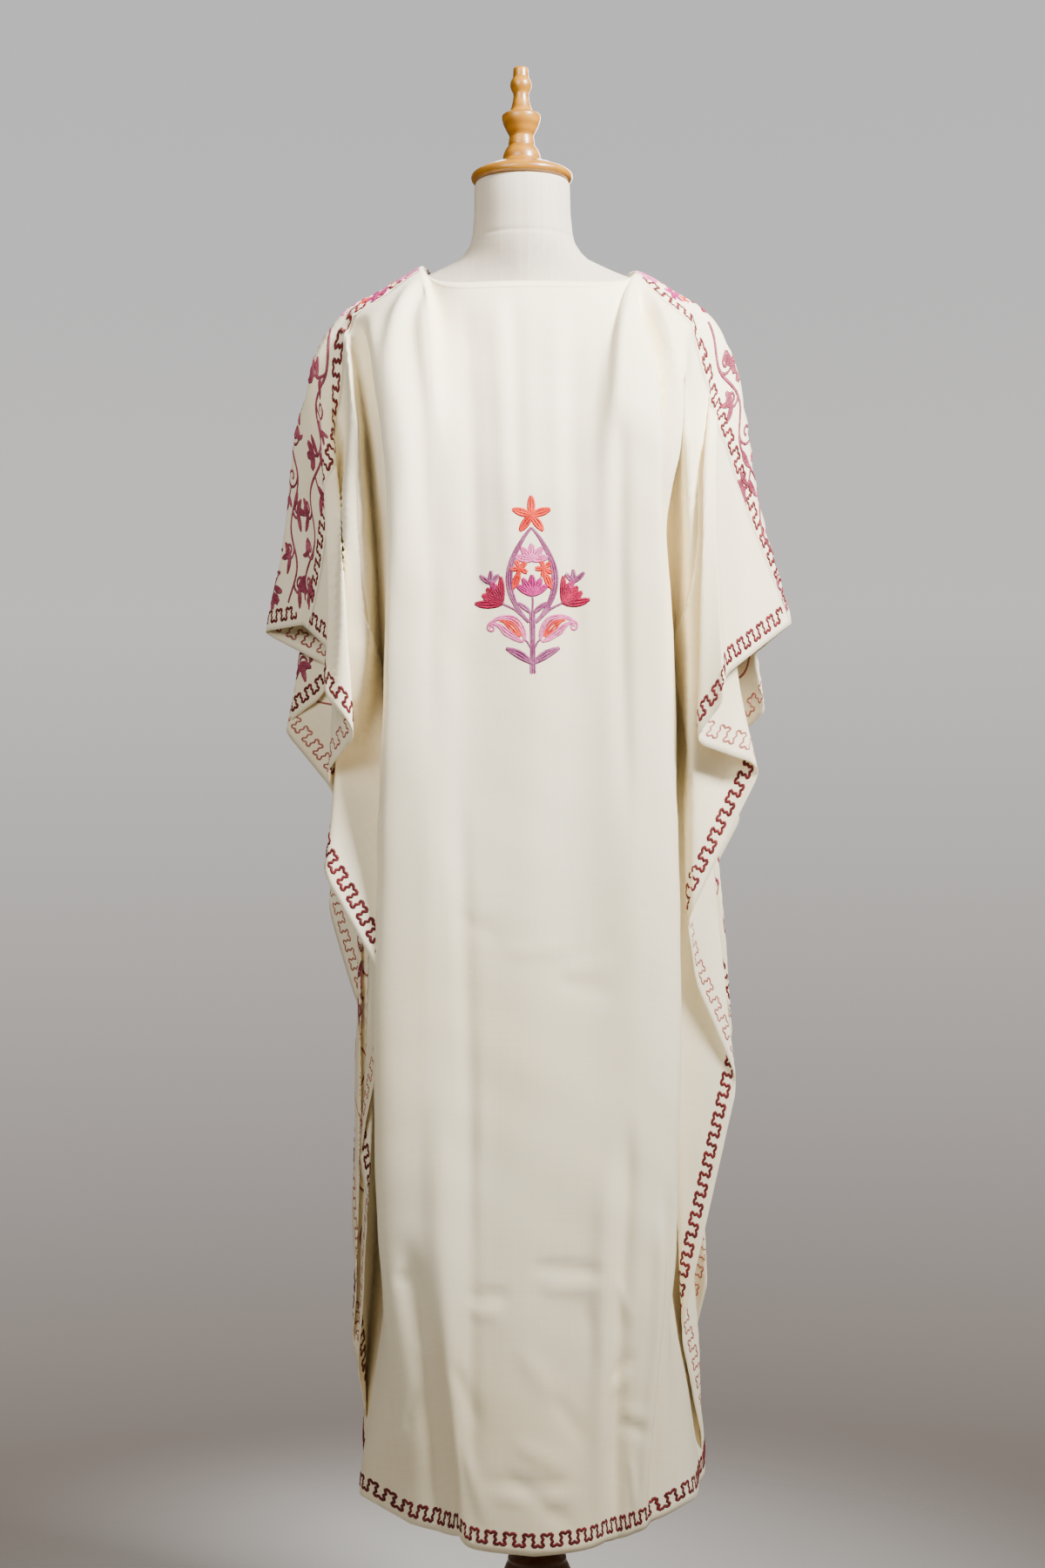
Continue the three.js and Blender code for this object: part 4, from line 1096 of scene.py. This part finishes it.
# The dress form: level sections of the covered torso as height, half width, half depth, how far
# forward the middle lies, and how square it is, where 2 is an ellipse.
torsoShape = {
    "sections": (
        (1688, 50, 50, -8, 2), (1684, 51.5, 51.5, -8, 2), (1655, 52, 53, -6, 2), (1634, 54, 55, -4, 2),
        (1628.5, 55.4, 55.4, -3.5, 2), (1627, 54.9, 54.8, -3.4, 2), (1625.5, 56, 55.7, -3.2, 2),
        (1622, 57, 56, -3, 2), (1612, 64, 55.5, -2, 1.85), (1605, 72, 55, -1, 1.7),
        (1593, 100, 53, 0, 1.45), (1580, 133, 51, 0, 1.35), (1566, 160, 52, 0, 1.5),
        (1553, 174, 60, 0, 1.7), (1530, 178, 74, 2, 2), (1480, 175, 93, 4, 2.2),
        (1400, 162, 108, 8, 2.25), (1320, 150, 116, 14, 2.25), (1240, 134, 101, 8, 2.25),
        (1150, 120, 88, 4, 2.2), (1060, 128, 98, 2, 2.2), (960, 134, 110, 2, 2.2),
        (880, 131, 108, 2, 2.2), (830, 124, 102, 2, 2.2), (820, 118, 96, 2, 2.2),
    ),
    "sides": 96, "seam": 0.5,
}


def makeTorso():
    bm = bmesh.new()
    rings = []
    for z, wide, deep, forward, square in torsoShape["sections"]:
        ring = bmesh.ops.create_circle(bm, segments=torsoShape["sides"], radius=1)["verts"]
        for vert in ring:
            c, s = vert.co.x, vert.co.y
            seam = torsoShape["seam"] if abs(c) < 0.01 else 0
            vert.co = (wide * mm * math.copysign(abs(c) ** (2 / square), c),
                       (forward + (deep - seam) * math.copysign(abs(s) ** (2 / square), s)) * mm, z * mm)
        rings.append([edge for vert in ring for edge in vert.link_edges])
    for upper, lower in zip(rings, rings[1:]):
        bmesh.ops.bridge_loops(bm, edges=list(set(upper)) + list(set(lower)))
    for ring in (rings[0], rings[-1]):
        bmesh.ops.contextual_create(bm, geom=list(set(ring)))
    return meshFrom(bm, "formTorso")


def linenMaterial():
    material, tree, shader, places = newMaterial("formLinen")
    flat = addNode(tree, "Group", {"Flat": places["Object"], "Threads": 1500, "Slub": 1}, node_tree=weave)
    feed(tree, shader, {
        "Base Color": twoTones(tree, flat["Slubs"], (srgb(202, 190, 172), srgb(230, 220, 204)), (0, 1)),
        "Normal": relief(tree, flat["Height"], 0.3, 0.0004), "Roughness": 0.85,
    })
    return material


torso = finishPiece(linkPiece("formTorso", makeTorso(), linenMaterial()), "form_cover", "torso")


def woodGroup():
    group, start, end = makeGroup("turnedWood", {"Place": "Vector", "Dark": "Color", "Light": "Color"},
                                  {"Color": "Color", "Height": "Float"})
    stretched = addNode(group, "Mapping", {"Vector": start["Place"], "Scale": (60, 60, 5)})[0]
    warp = addNode(group, "TexNoise", {"Vector": stretched, "Scale": 1, "Detail": 5})["Fac"]
    rings = addNode(group, "TexWave", {"Vector": start["Place"], "Scale": 28, "Distortion": 5, "Detail": 2},
                    wave_type="RINGS", rings_direction="Y")["Fac"]
    mixed = calculate(group, "MULTIPLY", calculate(group, "MULTIPLY_ADD", rings, 0.45, warp), 0.75)
    colour = addNode(group, "Mix", {0: mixed, 6: start["Dark"], 7: start["Light"]}, data_type="RGBA")[2]
    feed(group, end, {"Color": colour, "Height": warp})
    return group


wood = woodGroup()


def woodMaterial(name, dark, light, rough, coat):
    material, tree, shader, places = newMaterial(name)
    tones = {"Place": places["Object"], "Dark": dark, "Light": light}
    grain = addNode(tree, "Group", tones, node_tree=wood)
    feed(tree, shader, {
        "Base Color": grain["Color"], "Normal": relief(tree, grain["Height"], 0.12, 0.0005),
        "Roughness": rough, "Coat Weight": coat, "Coat Roughness": 0.12,
    })
    return material


honeyWood = woodMaterial("honeyWood", srgb(116, 70, 8), srgb(180, 122, 26), 0.36, 0.35)
brownWood = woodMaterial("brownWood", srgb(44, 20, 8), srgb(104, 56, 24), 0.35, 0.5)

# Turned pieces as radius and height above their own foot.
turnings = {
    "finial": (
        (0, 0), (50, 0), (54, 1.6), (55.5, 6), (54.4, 9.4), (50, 12.4), (44, 14.6), (41, 15.2),
        (36, 18.2), (28, 21), (21.4, 22), (21.4, 24), (20.2, 25), (20.6, 27), (19.6, 32), (17.4, 36.5),
        (15.2, 39.4), (13.9, 40.4), (14.6, 42.6), (13.6, 44.6), (14.1, 47), (12.6, 49.6), (14, 53),
        (17.6, 59), (20.3, 66), (21.2, 71), (20.6, 73.6), (18.6, 74.8), (14.6, 75.6), (12.2, 77.6),
        (10.6, 82), (9.1, 88), (8.4, 93), (8.3, 97), (9.2, 98.8), (11, 101.6), (11.9, 106), (11, 110.4),
        (9.2, 113), (8.3, 114.6), (8.3, 123.6), (7.4, 125.2), (0, 125.5),
    ),
    "standHub": (
        (0, 0), (12, 0), (18, 2), (22, 7), (23, 12), (21, 18), (21, 21), (30, 23.5), (32.4, 26), (33, 30),
        (33, 84), (32, 87), (31, 89), (35, 91), (38.6, 95), (39.5, 101), (39.4, 110), (37.6, 117),
        (34, 126), (31.4, 131), (32.2, 133), (31, 135), (25, 139), (21, 143), (18, 147), (19.6, 149.4),
        (20, 151.5), (18, 155), (16.8, 158), (16, 160), (0, 160),
    ),
}


def turnPiece(name, foot, forward, finish):
    bm = bmesh.new()
    verts = [bm.verts.new((radius * mm, forward, foot + high * mm)) for radius, high in turnings[name]]
    edges = [bm.edges.new(pair) for pair in zip(verts, verts[1:])]
    bmesh.ops.spin(bm, geom=verts + edges, cent=(0, forward, 0), axis=(0, 0, 1), angle=2 * math.pi,
                   steps=48, use_merge=True)
    bmesh.ops.remove_doubles(bm, verts=bm.verts[:], dist=1e-6)
    piece = linkPiece(name, meshFrom(bm, name), finish)
    rounding = piece.modifiers.new("rounding", "SUBSURF")
    rounding.levels = rounding.render_levels = 1
    return piece


capLow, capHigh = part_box("neck_cap_finial")
finial = turnPiece("finial", capLow.z, (capLow.y + capHigh.y) / 2, honeyWood)
hub = turnPiece("standHub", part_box("hub")[0].z, 0, brownWood)
finishPiece(finial, "honey_wood", "neck_cap_finial")
finishPiece(hub, "brown_wood", "hub")
for name in ("pole", "leg_1", "leg_2", "leg_3", "leg_4"):
    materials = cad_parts[name].data.materials
    materials.clear()
    materials.append(brownWood)
print("form and stand made")

for piece, node in ((backPanel, "back_panel"), (frontPanel, "front_panel")):
    finishPiece(piece, "kaftan_cloth", node)

# A round pale floor that fades out at its rim, in front of a plain grey background.
stage = {"radius": 1.5, "fadeFrom": 0.45, "fadeTo": 1.35}
floorMesh = bpy.data.meshes.new("floor")
bm = bmesh.new()
bmesh.ops.create_circle(bm, cap_ends=True, segments=96, radius=stage["radius"])
bm.to_mesh(floorMesh)
bm.free()
floorPaint, floorTree, floorShader, floorPlaces = newMaterial("floorPaint")
reach = addNode(floorTree, "VectorMath", {0: floorPlaces["Object"]}, operation="LENGTH")["Value"]
fade = addNode(floorTree, "MapRange", {
    "Value": reach, "From Min": stage["fadeFrom"], "From Max": stage["fadeTo"], "To Min": 1, "To Max": 0,
}, interpolation_type="SMOOTHSTEP")["Result"]
feed(floorTree, floorShader, {"Base Color": srgb(188, 186, 184), "Roughness": 0.9, "Alpha": fade})
linkPiece("floor", floorMesh, floorPaint)

camera = {"distance": 2.46, "height": 1.04, "lens": 52.14, "sensor": 36, "aside": -0.0066, "roll": 0.63}
lens = bpy.data.cameras.new("camera")
lens.lens = camera["lens"]
lens.sensor_width = camera["sensor"]
lens.sensor_fit = "AUTO"
viewer = linkPiece("camera", lens)
viewer.location = (camera["aside"], -camera["distance"], camera["height"])
viewer.rotation_euler = (math.pi / 2, math.radians(camera["roll"]), 0)
scene.camera = viewer

# Square area lights, by where they are, what they face, side, power, spread and colour.
lights = {
    "key": ((1.7, -1.4, 2.9), (0, 0, 1.95), 0.8, 76, 1.25, (1, 0.985, 0.965)),
    "fill": ((-1.2, -2.3, 2.6), (0, 0, 1.9), 1.6, 16, 1.3, (1, 0.98, 0.95)),
    "back": ((0.6, 2.6, 2.4), (0, 0, 1.4), 1.6, 30, 1.8, (1, 0.99, 0.97)),
}
for name, (at, to, size, power, spread, colour) in lights.items():
    lamp = bpy.data.lights.new(name, "AREA")
    lamp.shape, lamp.size = "SQUARE", size
    lamp.energy, lamp.spread, lamp.color = power, spread, colour
    holder = linkPiece(name, lamp)
    holder.location = at
    holder.rotation_euler = (Vector(to) - Vector(at)).to_track_quat("-Z", "Y").to_euler()

# What the camera sees behind the floor: grey, with painted shade that makes it darker and warmer towards
# the bottom, where less light falls.
sky = {
    "light": (1, 0.82, 0.55, 1), "strength": 0.13,
    "greys": ((0, (0.16, 0.13, 0.11, 1)), (0.1, (0.23, 0.19, 0.165, 1)), (0.31, (0.42, 0.38, 0.355, 1)),
              (0.66, (0.75, 0.72, 0.7, 1)), (1, (0.66, 0.655, 0.665, 1))),
}
world = bpy.data.worlds.new("studio")
scene.world = world
world.use_nodes = True
tree = world.node_tree
facing = addNode(tree, "TexCoord")["Generated"]
high = addNode(tree, "SeparateXYZ", {0: facing})["Z"]
rise = addNode(tree, "MapRange", {"Value": high, "From Min": -0.36, "From Max": 0.3})["Result"]
greys = addNode(tree, "ValToRGB", {"Fac": rise})[0]
stops = greys.node.color_ramp.elements
for place, grey in sky["greys"]:
    stop = stops.new(place) if 0 < place < 1 else stops[int(place) and -1]
    stop.color = grey
behind = tree.nodes["Background"]
feed(tree, behind, {"Color": greys})
around = addNode(tree, "Background", {"Color": sky["light"], "Strength": sky["strength"]})[0]
seen = addNode(tree, "LightPath")["Is Camera Ray"]
either = addNode(tree, "MixShader", {0: seen, 1: around, 2: behind.outputs[0]})[0]
feed(tree, tree.nodes["World Output"], {"Surface": either})
